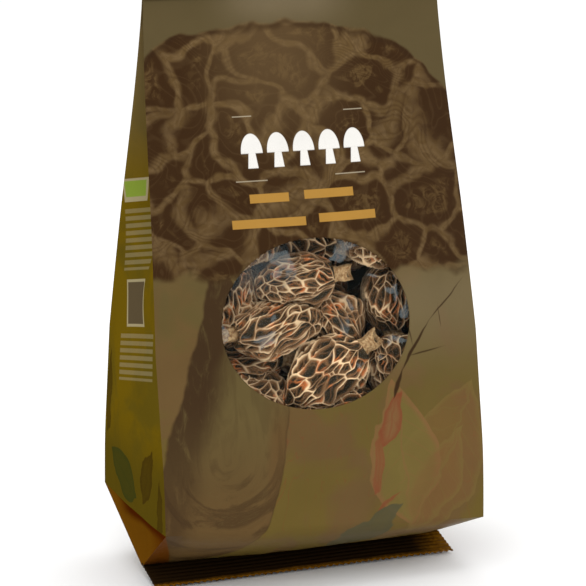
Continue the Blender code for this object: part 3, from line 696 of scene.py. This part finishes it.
def build_pouch_film():
    """Rings up the pouch joined into one sheet, with the oval hole set into the front panel's grid."""
    rings = [wedge_ring(step) for step in np.linspace(0.02, 1.0, WEDGE_ROWS)[:-1]]
    rings += [wall_ring(rise) for rise in np.linspace(0.0, 1.0, WALL_ROWS + 1)]
    count = len(rings[0])
    verts = np.concatenate(rings)
    front_end = FRONT_STEPS
    right_end = front_end + SIDE_STEPS
    back_end = right_end + FRONT_STEPS
    shares = ring_shares(FRONT_STEPS)
    first_wall = WEDGE_ROWS - 1

    columns = np.searchsorted(shares * PANEL_HALF,
                              [WINDOW_X - HOLE_BLOCK_HALF_WIDTH, WINDOW_X + HOLE_BLOCK_HALF_WIDTH])
    heights = np.array([rings[first_wall + k][FRONT_STEPS // 2][2] for k in range(WALL_ROWS + 1)])
    hole_block = [WINDOW_Z - HOLE_BLOCK_HALF_HEIGHT, WINDOW_Z + HOLE_BLOCK_HALF_HEIGHT]
    rows = first_wall + np.searchsorted(heights, hole_block)
    faces, slots = [], []
    for r in range(len(rings) - 1):
        for c in range(count):
            in_hole_block = rows[0] <= r < rows[1] and columns[0] <= c < columns[1]
            if in_hole_block:
                continue
            d = (c + 1) % count
            faces.append((r * count + c, r * count + d, (r + 1) * count + d, (r + 1) * count + c))
            wedge = r < first_wall
            if c < front_end:
                slots.append(0)
            elif c < right_end or c >= back_end:
                slots.append(3 if wedge else 1)
            else:
                slots.append(2)

    border = [rows[0] * count + c for c in range(columns[0], columns[1])]
    border += [r * count + columns[1] for r in range(rows[0], rows[1])]
    border += [rows[1] * count + c for c in range(columns[1], columns[0], -1)]
    border += [r * count + columns[0] for r in range(rows[1], rows[0], -1)]
    outer = verts[border]
    angle = np.arctan2((outer[:, 2] - WINDOW_Z) / WINDOW_HALF_HEIGHT,
                       (outer[:, 0] - WINDOW_X) / WINDOW_HALF_WIDTH)
    rim = np.stack([WINDOW_X + WINDOW_HALF_WIDTH * np.cos(angle),
                    WINDOW_Z + WINDOW_HALF_HEIGHT * np.sin(angle)], axis=-1)
    previous = border
    extra = []
    base = len(verts)
    for k in range(1, HOLE_RINGS + 1):
        t = k / HOLE_RINGS
        flat = outer[:, (0, 2)] * (1 - t) + rim * t
        extra.append(front_place(flat[:, 0] / panel_half(flat[:, 1]), flat[:, 1]))
        current = [base + (k - 1) * len(border) + i for i in range(len(border))]
        for i in range(len(border)):
            j = (i + 1) % len(border)
            faces.append((previous[i], previous[j], current[j], current[i]))
            slots.append(0)
        previous = current
    verts = np.concatenate([verts] + extra)
    return new_piece("pouch_film", verts, faces, [FRONT_FILM, GUSSET_FILM, BACK_FILM, UNDER_FILM], slots,
                     sharp=FOLD_ANGLE)


pouch_film = build_pouch_film()
wall = pouch_film.modifiers.new("film_thickness", "SOLIDIFY")
wall.thickness = FILM_THICKNESS * MM
wall.offset = -1.0
wall.use_even_offset = False
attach(pouch_film, "root")
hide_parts("bag_film")

# -----------------------------------------------------------------------------------------------------------
# Crimped seals. The film's layers are welded between toothed jaws at the top of the pouch and along its
# bottom fin. Lengthwise ribs are pressed into the weld, and the knife leaves a zigzag edge. The fin is folded
# forwards under the pouch.

SEAL_HALF = 50.0
SEAL_LENGTH = 14.0
FIN_HALF = 52.6
FIN_LENGTH = 14.0
SEAL_GOLD = (0.200, 0.085, 0.005)
FIN_SHADOW_BROWN = (0.016, 0.0080, 0.0024)


def geometry_socket(tree, name, kind, default=None):
    socket = tree.interface.new_socket(name, in_out="INPUT", socket_type=kind)
    if default is not None:
        socket.default_value = default
    return socket.identifier


def crimped_band_tree():
    """Geometry nodes for a crimped weld: a flat band with pressed ribs along it and a zigzag free edge."""
    tree = bpy.data.node_groups.new("crimped_band", "GeometryNodeTree")
    ids = {"Geometry": geometry_socket(tree, "Geometry", "NodeSocketGeometry")}
    for label, default in (("Width", 0.1), ("Length", 0.015), ("Rib Pitch", 0.0016), ("Rib Height", 0.0003),
                           ("Tooth Pitch", 0.0022), ("Tooth Depth", 0.0008)):
        ids[label] = geometry_socket(tree, label, "NodeSocketFloat", default)
    for label, default in (("Columns", 200), ("Rows", 60)):
        ids[label] = geometry_socket(tree, label, "NodeSocketInt", default)
    ids["Material"] = geometry_socket(tree, "Material", "NodeSocketMaterial")
    tree.interface.new_socket("Geometry", in_out="OUTPUT", socket_type="NodeSocketGeometry")
    inputs = tree.nodes.new("NodeGroupInput").outputs
    ins = {"Size X": inputs["Width"], "Size Y": inputs["Length"],
           "Vertices X": inputs["Columns"], "Vertices Y": inputs["Rows"]}
    grid = add_node(tree, "GeometryNodeMeshGrid", ins)
    place = add_node(tree, "ShaderNodeSeparateXYZ",
                     {0: add_node(tree, "GeometryNodeInputPosition").outputs[0]})
    reach = calc(tree, "ADD", calc(tree, "DIVIDE", place.outputs[1], inputs["Length"]), 0.5)
    half_rib = times(tree, inputs["Rib Pitch"], 0.5)
    rib = calc(tree, "DIVIDE", calc(tree, "PINGPONG", place.outputs[1], half_rib), half_rib)
    rounded = add_node(tree, "ShaderNodeMapRange", {"Value": rib, "From Min": 0.15, "From Max": 0.85},
                       interpolation_type="SMOOTHSTEP").outputs["Result"]
    height = times(tree, rounded, inputs["Rib Height"])
    half_tooth = times(tree, inputs["Tooth Pitch"], 0.5)
    tooth = calc(tree, "DIVIDE", calc(tree, "PINGPONG", place.outputs[0], half_tooth), half_tooth)
    near_edge = add_node(tree, "ShaderNodeMapRange",
                         {"Value": reach, "From Min": 0.86, "From Max": 1.0}).outputs["Result"]
    bite = times(tree, times(tree, tooth, near_edge), inputs["Tooth Depth"])
    shift = add_node(tree, "ShaderNodeCombineXYZ", {1: times(tree, bite, -1.0), 2: height})
    moved = add_node(tree, "GeometryNodeSetPosition",
                     {"Geometry": grid.outputs["Mesh"], "Offset": shift.outputs[0]})
    whole = add_node(tree, "GeometryNodeRealizeInstances", {"Geometry": moved.outputs[0]})
    dressed = add_node(tree, "GeometryNodeSetMaterial",
                       {"Geometry": whole.outputs[0], "Material": inputs["Material"]})
    tree.links.new(dressed.outputs[0], tree.nodes.new("NodeGroupOutput").inputs[0])
    return tree, ids


CRIMPED_BAND, BAND_INPUTS = crimped_band_tree()


def crimped_band(name, sizes, material, lay):
    """A crimped band made flat by the nodes, then laid in its place by lay(across, reach, height)."""
    holder = bpy.data.objects.new(name + "_rule", bpy.data.meshes.new(name + "_rule"))
    bpy.context.collection.objects.link(holder)
    rule = holder.modifiers.new("crimp", "NODES")
    rule.node_group = CRIMPED_BAND
    for label, value in sizes.items():
        rule[BAND_INPUTS[label]] = value
    rule[BAND_INPUTS["Material"]] = material
    evaluated = holder.evaluated_get(bpy.context.evaluated_depsgraph_get())
    mesh = bpy.data.meshes.new_from_object(evaluated)
    bpy.data.objects.remove(holder, do_unlink=True)
    flat = np.zeros(len(mesh.vertices) * 3)
    mesh.vertices.foreach_get("co", flat)
    flat = flat.reshape(-1, 3) / MM
    reach = flat[:, 1] / (sizes["Length"] / MM) + 0.5
    mesh.vertices.foreach_set("co", (lay(flat[:, 0], reach, flat[:, 2]) * MM).ravel())
    mesh.update()
    mesh.shade_smooth()
    obj = bpy.data.objects.new(name, mesh)
    bpy.context.collection.objects.link(obj)
    return obj


def paint_seal(tree, place, x, y, z):
    """The top seal's outside: the olive print in cloudy patches, turning to another olive towards its top."""
    ground = blend(tree, mask_between(tree, noise_value(tree, place, 0.05, 2.0), 0.4, 0.6), OLIVE_TOP,
                   OLIVE_WARM)
    return blend(tree, mask_between(tree, z, 198.0, 204.0), ground, OLIVE_LOW)


def paint_fin(tree, place, x, y, z):
    """The fin's gold ink: nearly black-brown along its middle as a painted shadow under the pouch's belly,
    bright gold along its cut edge and at its ends.
    """
    cloud = noise_value(tree, place, 0.12, 3.0, 0.6, 0.4)
    edge = mask_between(tree, times_plus(tree, cloud, 1.6, y), -11.2, -12.4)
    end = mask_between(tree, times_plus(tree, cloud, 10.0, x), 44.0, 56.0)
    worn = mask_between(tree, noise_value(tree, place, 0.6, 3.0, 0.7), 0.35, 0.65)
    gold = blend(tree, worn, SEAL_GOLD, (0.110, 0.042, 0.002))
    # Painted shadow: all but the cut edge and the ends is laid in near-black brown, as the shade under the
    # pouch.
    return blend(tree, calc(tree, "MAXIMUM", edge, end), FIN_SHADOW_BROWN, gold)


SEAL_FILM = film_material("top_seal_print", paint_seal)
FIN_FILM = film_material("fin_print", paint_fin, shine=0.02)


def lay_top_seal(across, reach, height):
    z = SEAL_FOOT_Z - 1.0 + reach * (POUCH_TOP_Z - SEAL_FOOT_Z + 1.0)
    curl = 0.25 * np.sin(across / 17.0 + 0.6) * reach
    return np.stack([across, -0.45 - height + curl * 0.6, z], axis=-1)


def lay_fin(across, reach, height):
    sag = 0.35 * np.sin(across / 15.0) * reach * (1 - reach) * 2
    y = -FIN_LENGTH * reach
    z = ROOT_Z + 0.3 + (0.55 - ROOT_Z - 0.3) * reach + sag + height
    return np.stack([across, y, z], axis=-1)


SEAL_SIZES = {"Width": 2 * SEAL_HALF * MM, "Length": (SEAL_LENGTH + 1.0) * MM, "Rib Pitch": 1.5 * MM,
              "Rib Height": 0.35 * MM, "Tooth Pitch": 2.0 * MM, "Tooth Depth": 0.9 * MM,
              "Columns": 301, "Rows": 96}
FIN_SIZES = {"Width": 2 * FIN_HALF * MM, "Length": FIN_LENGTH * MM, "Rib Pitch": 1.9 * MM,
             "Rib Height": 0.4 * MM, "Tooth Pitch": 2.1 * MM, "Tooth Depth": 1.0 * MM,
             "Columns": 301, "Rows": 76}

for name, sizes, material, lay, thickness in (("top_seal", SEAL_SIZES, SEAL_FILM, lay_top_seal, 0.7),
                                              ("bottom_fin", FIN_SIZES, FIN_FILM, lay_fin, 0.45)):
    band = crimped_band(name, sizes, material, lay)
    weld = band.modifiers.new("weld_thickness", "SOLIDIFY")
    weld.thickness = thickness * MM
    weld.offset = -1.0 if name == "bottom_fin" else 1.0
    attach(band, "root")
    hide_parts("bag_film")

# -----------------------------------------------------------------------------------------------------------
# Window. A patch of clear, glossy film welded behind the oval hole. Pale blue-grey patches painted on it
# stand in for light reflected by the film, and its edge is hidden behind the printed panel.

PANE_RINGS = 22
PANE_SIDES = 96
PANE_OVERLAP = 4.5
PANE_BEHIND = 0.75


def build_pane():
    """Rings of an oval that follow the front panel's crown, with shallow wrinkles pressed by the contents."""
    verts = []
    for k in range(PANE_RINGS + 1):
        t = k / PANE_RINGS
        angle = np.arange(PANE_SIDES) * 2 * math.pi / PANE_SIDES
        x = WINDOW_X + (WINDOW_HALF_WIDTH + PANE_OVERLAP) * t * np.cos(angle)
        z = WINDOW_Z + (WINDOW_HALF_HEIGHT + PANE_OVERLAP) * t * np.sin(angle)
        if k == 0:
            x, z = x[:1], z[:1]
        half = panel_half(z)
        depth = level_curve(DEPTH_LEVELS, z) + level_curve(CROWN_LEVELS, z) * (1 - (x / half) ** 2)
        wrinkle = 0.35 * soft_noise(x, 0.0, z, 11.0, 21.0) + 0.2 * soft_noise(x + z, 0.0, z - x, 6.0, 22.0)
        y = -depth + PANE_BEHIND + wrinkle * (1 - t ** 6) * 0.8 + 0.35 * (1 - t ** 6)
        verts.append(np.stack([x, y, z], axis=-1))
    faces = [(0, 1 + i, 1 + (i + 1) % PANE_SIDES) for i in range(PANE_SIDES)]
    for k in range(PANE_RINGS - 1):
        low = 1 + k * PANE_SIDES
        for i in range(PANE_SIDES):
            j = (i + 1) % PANE_SIDES
            faces.append((low + i, low + PANE_SIDES + i, low + PANE_SIDES + j, low + j))
    return new_piece("window_pane", np.concatenate(verts), faces, [clear_film_material()])


def clear_film_material():
    """Clear film: almost all alpha, glossy, with painted pale blue-grey reflections in soft patches."""
    material = bpy.data.materials.new("clear_film")
    material.use_nodes = True
    tree = material.node_tree
    shader = tree.nodes["Principled BSDF"]
    place, x, y, z = millimetre_place(tree)
    # Painted reflection: soft patches, and one at the upper left, are made partly opaque in pale blue-grey.
    cloud = noise_value(tree, place, 0.085, 2.0, 0.5, 0.9)
    painted_reflection = mask_between(tree, cloud, 0.60, 0.66)
    corner = times(tree, mask_between(tree, x, -4.0, -22.0), mask_between(tree, z, 94.0, 106.0))
    painted_reflection = calc(tree, "MAXIMUM", times(tree, painted_reflection, 0.30), times(tree, corner, 0.12))
    tree.links.new(calc(tree, "ADD", painted_reflection, 0.015), shader.inputs["Alpha"])
    shader.inputs["Base Color"].default_value = (0.22, 0.26, 0.27, 1.0)
    shader.inputs["Roughness"].default_value = 0.12
    shader.inputs["Specular IOR Level"].default_value = 0.12
    ripples = noise_value(tree, place, 0.16, 3.0, 0.5, 0.5)
    relief = add_node(tree, "ShaderNodeBump", {"Strength": 0.5, "Distance": 0.0015, "Height": ripples})
    tree.links.new(relief.outputs[0], shader.inputs["Normal"])
    return material


window_pane = build_pane()
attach(window_pane, "root")
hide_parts("window_film")

# -----------------------------------------------------------------------------------------------------------
# Dried morels. Each is one fruit body, picked whole and dried: a hollow, leathery cap of thin pale ridges
# around dark pits, shrunk and flattened, on a short cream stalk that is open at its cut end.

NEAR_AROUND, NEAR_CAP_ROWS = 240, 150
FAR_AROUND, FAR_CAP_ROWS = 72, 48
# How wide and how drawn-out the pits are, and how pale the ridges, on each morel behind the window
# The paleness is each morel's own tone, but the fourth morel, which lies in shadow, has the lowest, so its
# darker ridges are partly painted shade.
NEAR_STYLES = ((1.8, 0.34, 0.3), (3.7, 0.85, 0.9), (2.2, 0.75, 0.8), (1.8, 0.32, 0.2), (1.9, 0.36, 0.5),
               (1.8, 0.32, 0.7), (1.8, 0.26, 0.6), (1.7, 0.28, 0.5), (1.7, 0.26, 0.4), (2.0, 0.34, 1.0),
               (1.8, 0.36, 0.7), (2.6, 0.70, 0.8), (2.4, 0.55, 0.8), (2.9, 0.75, 1.0))
FAR_STYLE = (3.0, 0.40, 0.3)
FRONT_CLEARANCE = 1.9
BACK_CLEARANCE = 1.2
SIDE_CLEARANCE = 1.6
LOWEST_Z = 7.0
STEM_GIRTH = 0.40
CAP_SWELL = 1.38
SPREADING_ROUNDS = 6


def flesh_material():
    """Dried morel flesh: near-black pits with rusty patches, brown walls, and cream ridges and stalks."""
    material = bpy.data.materials.new("dried_morel")
    material.use_nodes = True
    tree = material.node_tree
    shader = tree.nodes["Principled BSDF"]
    place, x, y, z = millimetre_place(tree)
    ridge = add_node(tree, "ShaderNodeAttribute", attribute_name="ridge").outputs["Fac"]
    stalk = add_node(tree, "ShaderNodeAttribute", attribute_name="stalk").outputs["Fac"]
    tone = add_node(tree, "ShaderNodeAttribute", attribute_name="tone").outputs["Fac"]
    speck = noise_value(tree, place, 1.1, 3.0, 0.65)
    cloud = noise_value(tree, place, 0.22, 2.0, 0.5)
    pit = blend(tree, mask_between(tree, speck, 0.35, 0.7), (0.014, 0.0125, 0.0065), (0.050, 0.032, 0.013))
    rust = times(tree, mask_between(tree, cloud, 0.56, 0.70), mask_between(tree, ridge, 0.03, 0.4))
    wall = blend(tree, rust, (0.21, 0.105, 0.042), (0.50, 0.15, 0.04))
    crest = blend(tree, tone, (0.40, 0.29, 0.17), (0.95, 0.68, 0.39))
    skin = blend(tree, mask_between(tree, ridge, 0.05, 0.55), pit, wall)
    skin = blend(tree, mask_between(tree, ridge, 0.50, 0.90), skin, crest)
    stem_color = blend(tree, mask_between(tree, speck, 0.3, 0.75), (0.26, 0.13, 0.048), (0.66, 0.46, 0.23))
    skin = blend(tree, stalk, skin, stem_color)
    shade = times_plus(tree, cloud, 0.5, 0.75)
    dim = add_node(tree, "ShaderNodeCombineColor", {0: shade, 1: shade, 2: shade})
    tree.links.new(blend(tree, 1.0, skin, dim.outputs[0], "MULTIPLY"), shader.inputs["Base Color"])
    tree.links.new(times_plus(tree, speck, 0.3, 0.5), shader.inputs["Roughness"])
    relief = add_node(tree, "ShaderNodeBump", {"Strength": 0.6, "Distance": 0.0005, "Height": speck})
    tree.links.new(relief.outputs[0], shader.inputs["Normal"])
    shader.inputs["Specular IOR Level"].default_value = 0.15
    return material


def morel_frame(node):
    """Where a plain morel lies: middle, direction to its tip, its wide and flat directions, and its sizes."""
    corners = np.array([v.co for v in node.data.vertices]) / MM
    corners = np.unique(np.round(corners, 3), axis=0)
    spread = corners - corners.mean(axis=0)
    _, axes = np.linalg.eigh(spread.T @ spread)
    along = axes[:, 2]
    reach = spread @ along
    girth = np.linalg.norm(spread - np.outer(reach, along), axis=1)
    if girth[reach > 0].max() < girth[reach < 0].max():
        along, reach = -along, -reach
    flat = axes[:, 0] if axes[1, 0] >= 0 else -axes[:, 0]
    wide = np.cross(flat, along)
    length = reach.max() - reach.min()
    centre = corners.mean(axis=0) + along * (reach.max() + reach.min()) / 2
    sides = (corners - centre) @ wide
    centre = centre + wide * (sides.max() + sides.min()) / 2
    return centre, along, wide, flat, length, (sides.max() - sides.min()) / 2


def pit_borders(points, cells):
    """Distance from each point to the border between its two nearest pits, and which pit it lies in."""
    squared = (points ** 2).sum(axis=1)[:, None] - 2 * points @ cells.T + (cells ** 2).sum(axis=1)[None, :]
    first = squared.argmin(axis=1)
    between = np.linalg.norm(cells[:, None, :] - cells[None, :, :], axis=2)
    np.fill_diagonal(between, 1.0)
    rows = np.arange(len(points))
    halfway = (squared - squared[rows, first][:, None]) / (2 * np.maximum(between, 1e-6)[first])
    halfway[rows, first] = np.inf
    return halfway.min(axis=1), first


def pressed_inside(verts):
    """Presses whatever would stand outside the pouch flat against the inside of its film."""
    x, y, z = verts.T
    half = panel_half(z)
    depth = level_curve(DEPTH_LEVELS, z)
    crown = level_curve(CROWN_LEVELS, z) * (1 - np.clip(x / half, -1, 1) ** 2)
    y = np.clip(y, -(depth + crown) + FRONT_CLEARANCE, depth + crown - BACK_CLEARANCE)
    tuck = np.maximum(level_curve(TUCK_LEVELS, z), 0.0) * (1 - np.clip(np.abs(y) / depth, 0, 1))
    reach = half - tuck - SIDE_CLEARANCE
    return np.stack([np.clip(x, -reach, reach), y, np.maximum(z, LOWEST_Z)], axis=-1)


def build_morel(name, node, index):
    """One dried morel fitted to its CAD solid: stalk with a hollow end, then a cap with raised ridges."""
    rng = np.random.default_rng(100 + index)
    centre, along, wide, flat, length, radius = morel_frame(node)
    near = index < len(NEAR_STYLES)
    pit_width, pit_stretch, paleness = NEAR_STYLES[index] if near else FAR_STYLE
    around = NEAR_AROUND if near else FAR_AROUND
    cap_rows = NEAR_CAP_ROWS if near else FAR_CAP_ROWS
    stem_share = rng.uniform(0.18, 0.25)
    stem = length * stem_share
    stem_radius = radius * STEM_GIRTH
    cap_start = stem * 0.9
    outline = [(stem * 0.8, 0.05), (stem * 0.7, stem_radius * 0.5), (stem * 0.1, stem_radius * 0.62)]
    stem_outline = [(0.0, stem_radius * 0.80), (-0.3, stem_radius * 1.00), (stem * 0.2, stem_radius * 1.02),
                    (stem * 0.6, stem_radius * 0.82), (stem, stem_radius * 1.1)]
    cap_s = np.linspace(0, 1, cap_rows)
    bulge = rng.uniform(0.75, 1.0)
    cap_r = radius * CAP_SWELL * (0.50 + 0.5 * np.sin(np.minimum(cap_s / 0.35, 1.0) * math.pi / 2) ** bulge)
    cap_r = cap_r * np.sqrt(np.clip(1 - np.clip((cap_s - 0.32) / 0.685, 0, 1) ** 2.2, 0.0015, 1))
    rows = []
    for (a0, r0), (a1, r1) in zip(outline + stem_outline, (outline + stem_outline)[1:]):
        steps = 6 if near else 3
        rows += [(a0 + (a1 - a0) * k / steps, r0 + (r1 - r0) * k / steps, 1.0) for k in range(steps)]
    bore_rows = steps * (len(outline) - 1)
    rows.append((stem, stem_radius, 1.0))
    rows += [(cap_start + (length - cap_start) * s, r, 0.0) for s, r in zip(cap_s, cap_r)]
    rows = np.array(rows)
    turn = np.arange(around) * 2 * math.pi / around
    a = np.repeat(rows[:, 0], around)
    r = np.repeat(rows[:, 1], around)
    on_stem = np.repeat(rows[:, 2], around)
    bore = np.repeat(np.arange(len(rows)) < bore_rows, around)
    t = np.tile(turn, len(rows))
    lobes = 0.09 * np.cos(2 * t + a * 0.10 + rng.uniform(0, 6))
    lobes = lobes + 0.08 * np.cos(3 * t + a * 0.2 + rng.uniform(0, 6))
    smooth = np.stack([a, r * (1 + lobes) * np.cos(t), r * (1 + lobes) * np.sin(t)], axis=-1)

    warp = np.stack([soft_noise(*smooth.T, 4.2, 31 + index + k) for k in range(3)], axis=-1)
    spin = smooth[:, 0] * rng.uniform(-0.05, 0.05)
    turned = np.stack([smooth[:, 0], smooth[:, 1] * np.cos(spin) - smooth[:, 2] * np.sin(spin),
                       smooth[:, 1] * np.sin(spin) + smooth[:, 2] * np.cos(spin)], axis=-1)
    shifted = turned + 1.3 * warp
    shifted[:, 0] *= pit_stretch
    cell_count = int(1.15 * 2 * math.pi * radius * (length - stem) * pit_stretch / pit_width ** 2)
    s = rng.uniform(0.02, 1.0, cell_count)
    ct = rng.uniform(0, 2 * math.pi, cell_count)
    cr = np.interp(s, cap_s, cap_r)
    cells = np.stack([(cap_start + (length - cap_start) * s) * pit_stretch, cr * np.cos(ct),
                      cr * np.sin(ct)], axis=-1)
    for _ in range(SPREADING_ROUNDS):
        apart = cells[:, None, :] - cells[None, :, :]
        gap = np.linalg.norm(apart, axis=2) + 1e-6
        push = np.where(gap < pit_width, (pit_width - gap) / gap, 0.0)
        np.fill_diagonal(push, 0.0)
        cells = cells + 0.25 * (push[:, :, None] * apart).sum(axis=1)
    border, cell = pit_borders(shifted, cells)
    rib_places = cells[rng.integers(0, len(cells), 3 * len(cells))]
    rib_places = rib_places + rng.normal(0, 0.36 * pit_width, rib_places.shape)
    rib_border, _ = pit_borders(shifted + 0.4 * warp, rib_places)
    patchy = soft_noise(*smooth.T, 6.0, 77 + index)
    crest_half = 0.16 * pit_width
    ridge = np.exp(-(np.maximum(border, 0) / crest_half) ** 1.6) * (0.85 + 0.4 * patchy)
    rib = 0.62 * np.exp(-(np.maximum(rib_border, 0) / 0.22) ** 1.5) * (0.7 + 0.6 * patchy)
    ridge = np.maximum(ridge, rib)
    pit_depth = 1.0 + 0.4 * np.sin(cell * 12.9898)
    fade = smooth_step(0.0, 0.06, (a - cap_start) / (length - cap_start)) * (1 - on_stem)
    height = (ridge * 0.40 - 0.55 * pit_depth * (1 - ridge)) * pit_width * fade
    crumple = 0.22 * soft_noise(*smooth.T, 9.0, 51 + index)
    crumple = crumple + 0.10 * soft_noise(*smooth.T, 4.5, 63 + index) * (1 - on_stem)
    furrows = rng.integers(3, 6) * t + 1.6 * soft_noise(smooth[:, 0], 0.0, 0.0, 9.0, 13 + index)
    furrows = furrows + 0.06 * smooth[:, 0]
    crumple = crumple + 0.13 * np.cos(furrows) * (1 - on_stem) * smooth_step(0.1, 0.4, a / length)
    waver = soft_noise(smooth[:, 0], 0, 0, 6.0, index)
    groove = 0.05 * np.cos(7 * t + 2 * waver) * on_stem * (r > stem_radius * 0.7)
    scale = (1 + crumple + groove) * (1 + height / np.maximum(r, 0.3 * radius))
    bend = rng.uniform(-2.5, 2.5) * ((a / length - 0.5) ** 2)
    flatness = rng.uniform(0.70, 0.82)
    y = smooth[:, 1] * scale + bend
    z = smooth[:, 2] * scale * flatness
    towards_front = np.maximum(-(y * wide[1] + z * flat[1]), 0.0)
    slant = on_stem * (1 - np.clip(a / stem, 0, 1)) * (1.4 * towards_front + 0.10 * np.cos(2 * t + index))
    lengthwise = (a + slant - length / 2)[:, None] * along
    verts = pressed_inside(centre[None, :] + lengthwise + y[:, None] * wide + z[:, None] * flat)
    faces = []
    for k in range(len(rows) - 1):
        low = k * around
        high = low + around
        faces += [(low + i, low + (i + 1) % around, high + (i + 1) % around, high + i) for i in range(around)]
    last = (len(rows) - 1) * around
    faces.append(tuple(range(around - 1, -1, -1)))
    faces.append(tuple(range(last, last + around)))
    obj = new_piece(name, verts, faces, [FLESH])
    bm = bmesh.new()
    bm.from_mesh(obj.data)
    bmesh.ops.recalc_face_normals(bm, faces=bm.faces)
    bm.to_mesh(obj.data)
    bm.free()
    for label, values in (("ridge", ridge * (1 - on_stem)), ("stalk", on_stem * (1 - 0.8 * bore)),
                          ("tone", np.full(len(a), paleness))):
        layer = obj.data.attributes.new(label, "FLOAT", "POINT")
        layer.data.foreach_set("value", values.astype(np.float32))
    return obj


FLESH = flesh_material()
for index, node_name in enumerate(sorted(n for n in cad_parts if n.startswith("morel_"))):
    morel = build_morel("dried_" + node_name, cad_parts[node_name], index)
    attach(morel, "root")
    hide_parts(node_name)

# -----------------------------------------------------------------------------------------------------------
# Setting. A plain pale floor, soft studio light from large panels, and a long-lens camera at the front left.

FLOOR_SIZE = 6.0


def plain_material(name, color, roughness):
    material = bpy.data.materials.new(name)
    material.use_nodes = True
    shader = material.node_tree.nodes["Principled BSDF"]
    shader.inputs["Base Color"].default_value = (*color, 1.0)
    shader.inputs["Roughness"].default_value = roughness
    return material


def build_floor():
    half = FLOOR_SIZE / 2 / MM
    corners = [(-half, -half, 0), (half, -half, 0), (half, half, 0), (-half, half, 0)]
    return new_piece("floor", corners, [(0, 1, 2, 3)],
                     [plain_material("pale_floor", (0.93, 0.93, 0.93), 0.9)])


def soft_panel(name, place, target, size, watts):
    """A square studio light at place, turned to target."""
    light = bpy.data.lights.new(name, "AREA")
    light.shape = "SQUARE"
    light.size = size
    light.energy = watts
    obj = bpy.data.objects.new(name, light)
    obj.location = place
    obj.rotation_euler = (Vector(target) - Vector(place)).to_track_quat("-Z", "Y").to_euler()
    bpy.context.collection.objects.link(obj)
    return obj


def add_camera():
    """Long lens at the front left, a little above the pouch, level across."""
    azimuth, pitch = math.radians(-21.3), math.radians(12.7)
    distance = 0.865
    aim = Vector((0.00029 * math.cos(azimuth), 0.00029 * math.sin(azimuth), 0.0912))
    back = Vector((math.sin(azimuth) * math.cos(pitch), -math.cos(azimuth) * math.cos(pitch),
                   math.sin(pitch)))
    camera = bpy.data.cameras.new("camera")
    camera.sensor_width = 36.0
    camera.lens = 162.8
    camera.clip_start = 0.01
    camera.dof.use_dof = False
    obj = bpy.data.objects.new("camera", camera)
    obj.location = aim + back * distance
    obj.rotation_euler = (-back).to_track_quat("-Z", "Y").to_euler()
    bpy.context.collection.objects.link(obj)
    bpy.context.scene.camera = obj


build_floor()
soft_panel("key_panel", (-0.7, -1.3, 1.5), (0, 0, 0.1), 1.2, 7.0)
soft_panel("fill_panel", (1.2, -1.0, 0.7), (0, 0, 0.1), 1.2, 3.0)
soft_panel("top_panel", (0.0, 0.2, 1.8), (0, 0, 0.0), 1.6, 9.0)
world = bpy.data.worlds.new("studio")
world.use_nodes = True
world.node_tree.nodes["Background"].inputs[0].default_value = (1.0, 1.0, 1.0, 1.0)
world.node_tree.nodes["Background"].inputs[1].default_value = 1.0
bpy.context.scene.world = world
bpy.context.scene.view_settings.view_transform = "Standard"
add_camera()
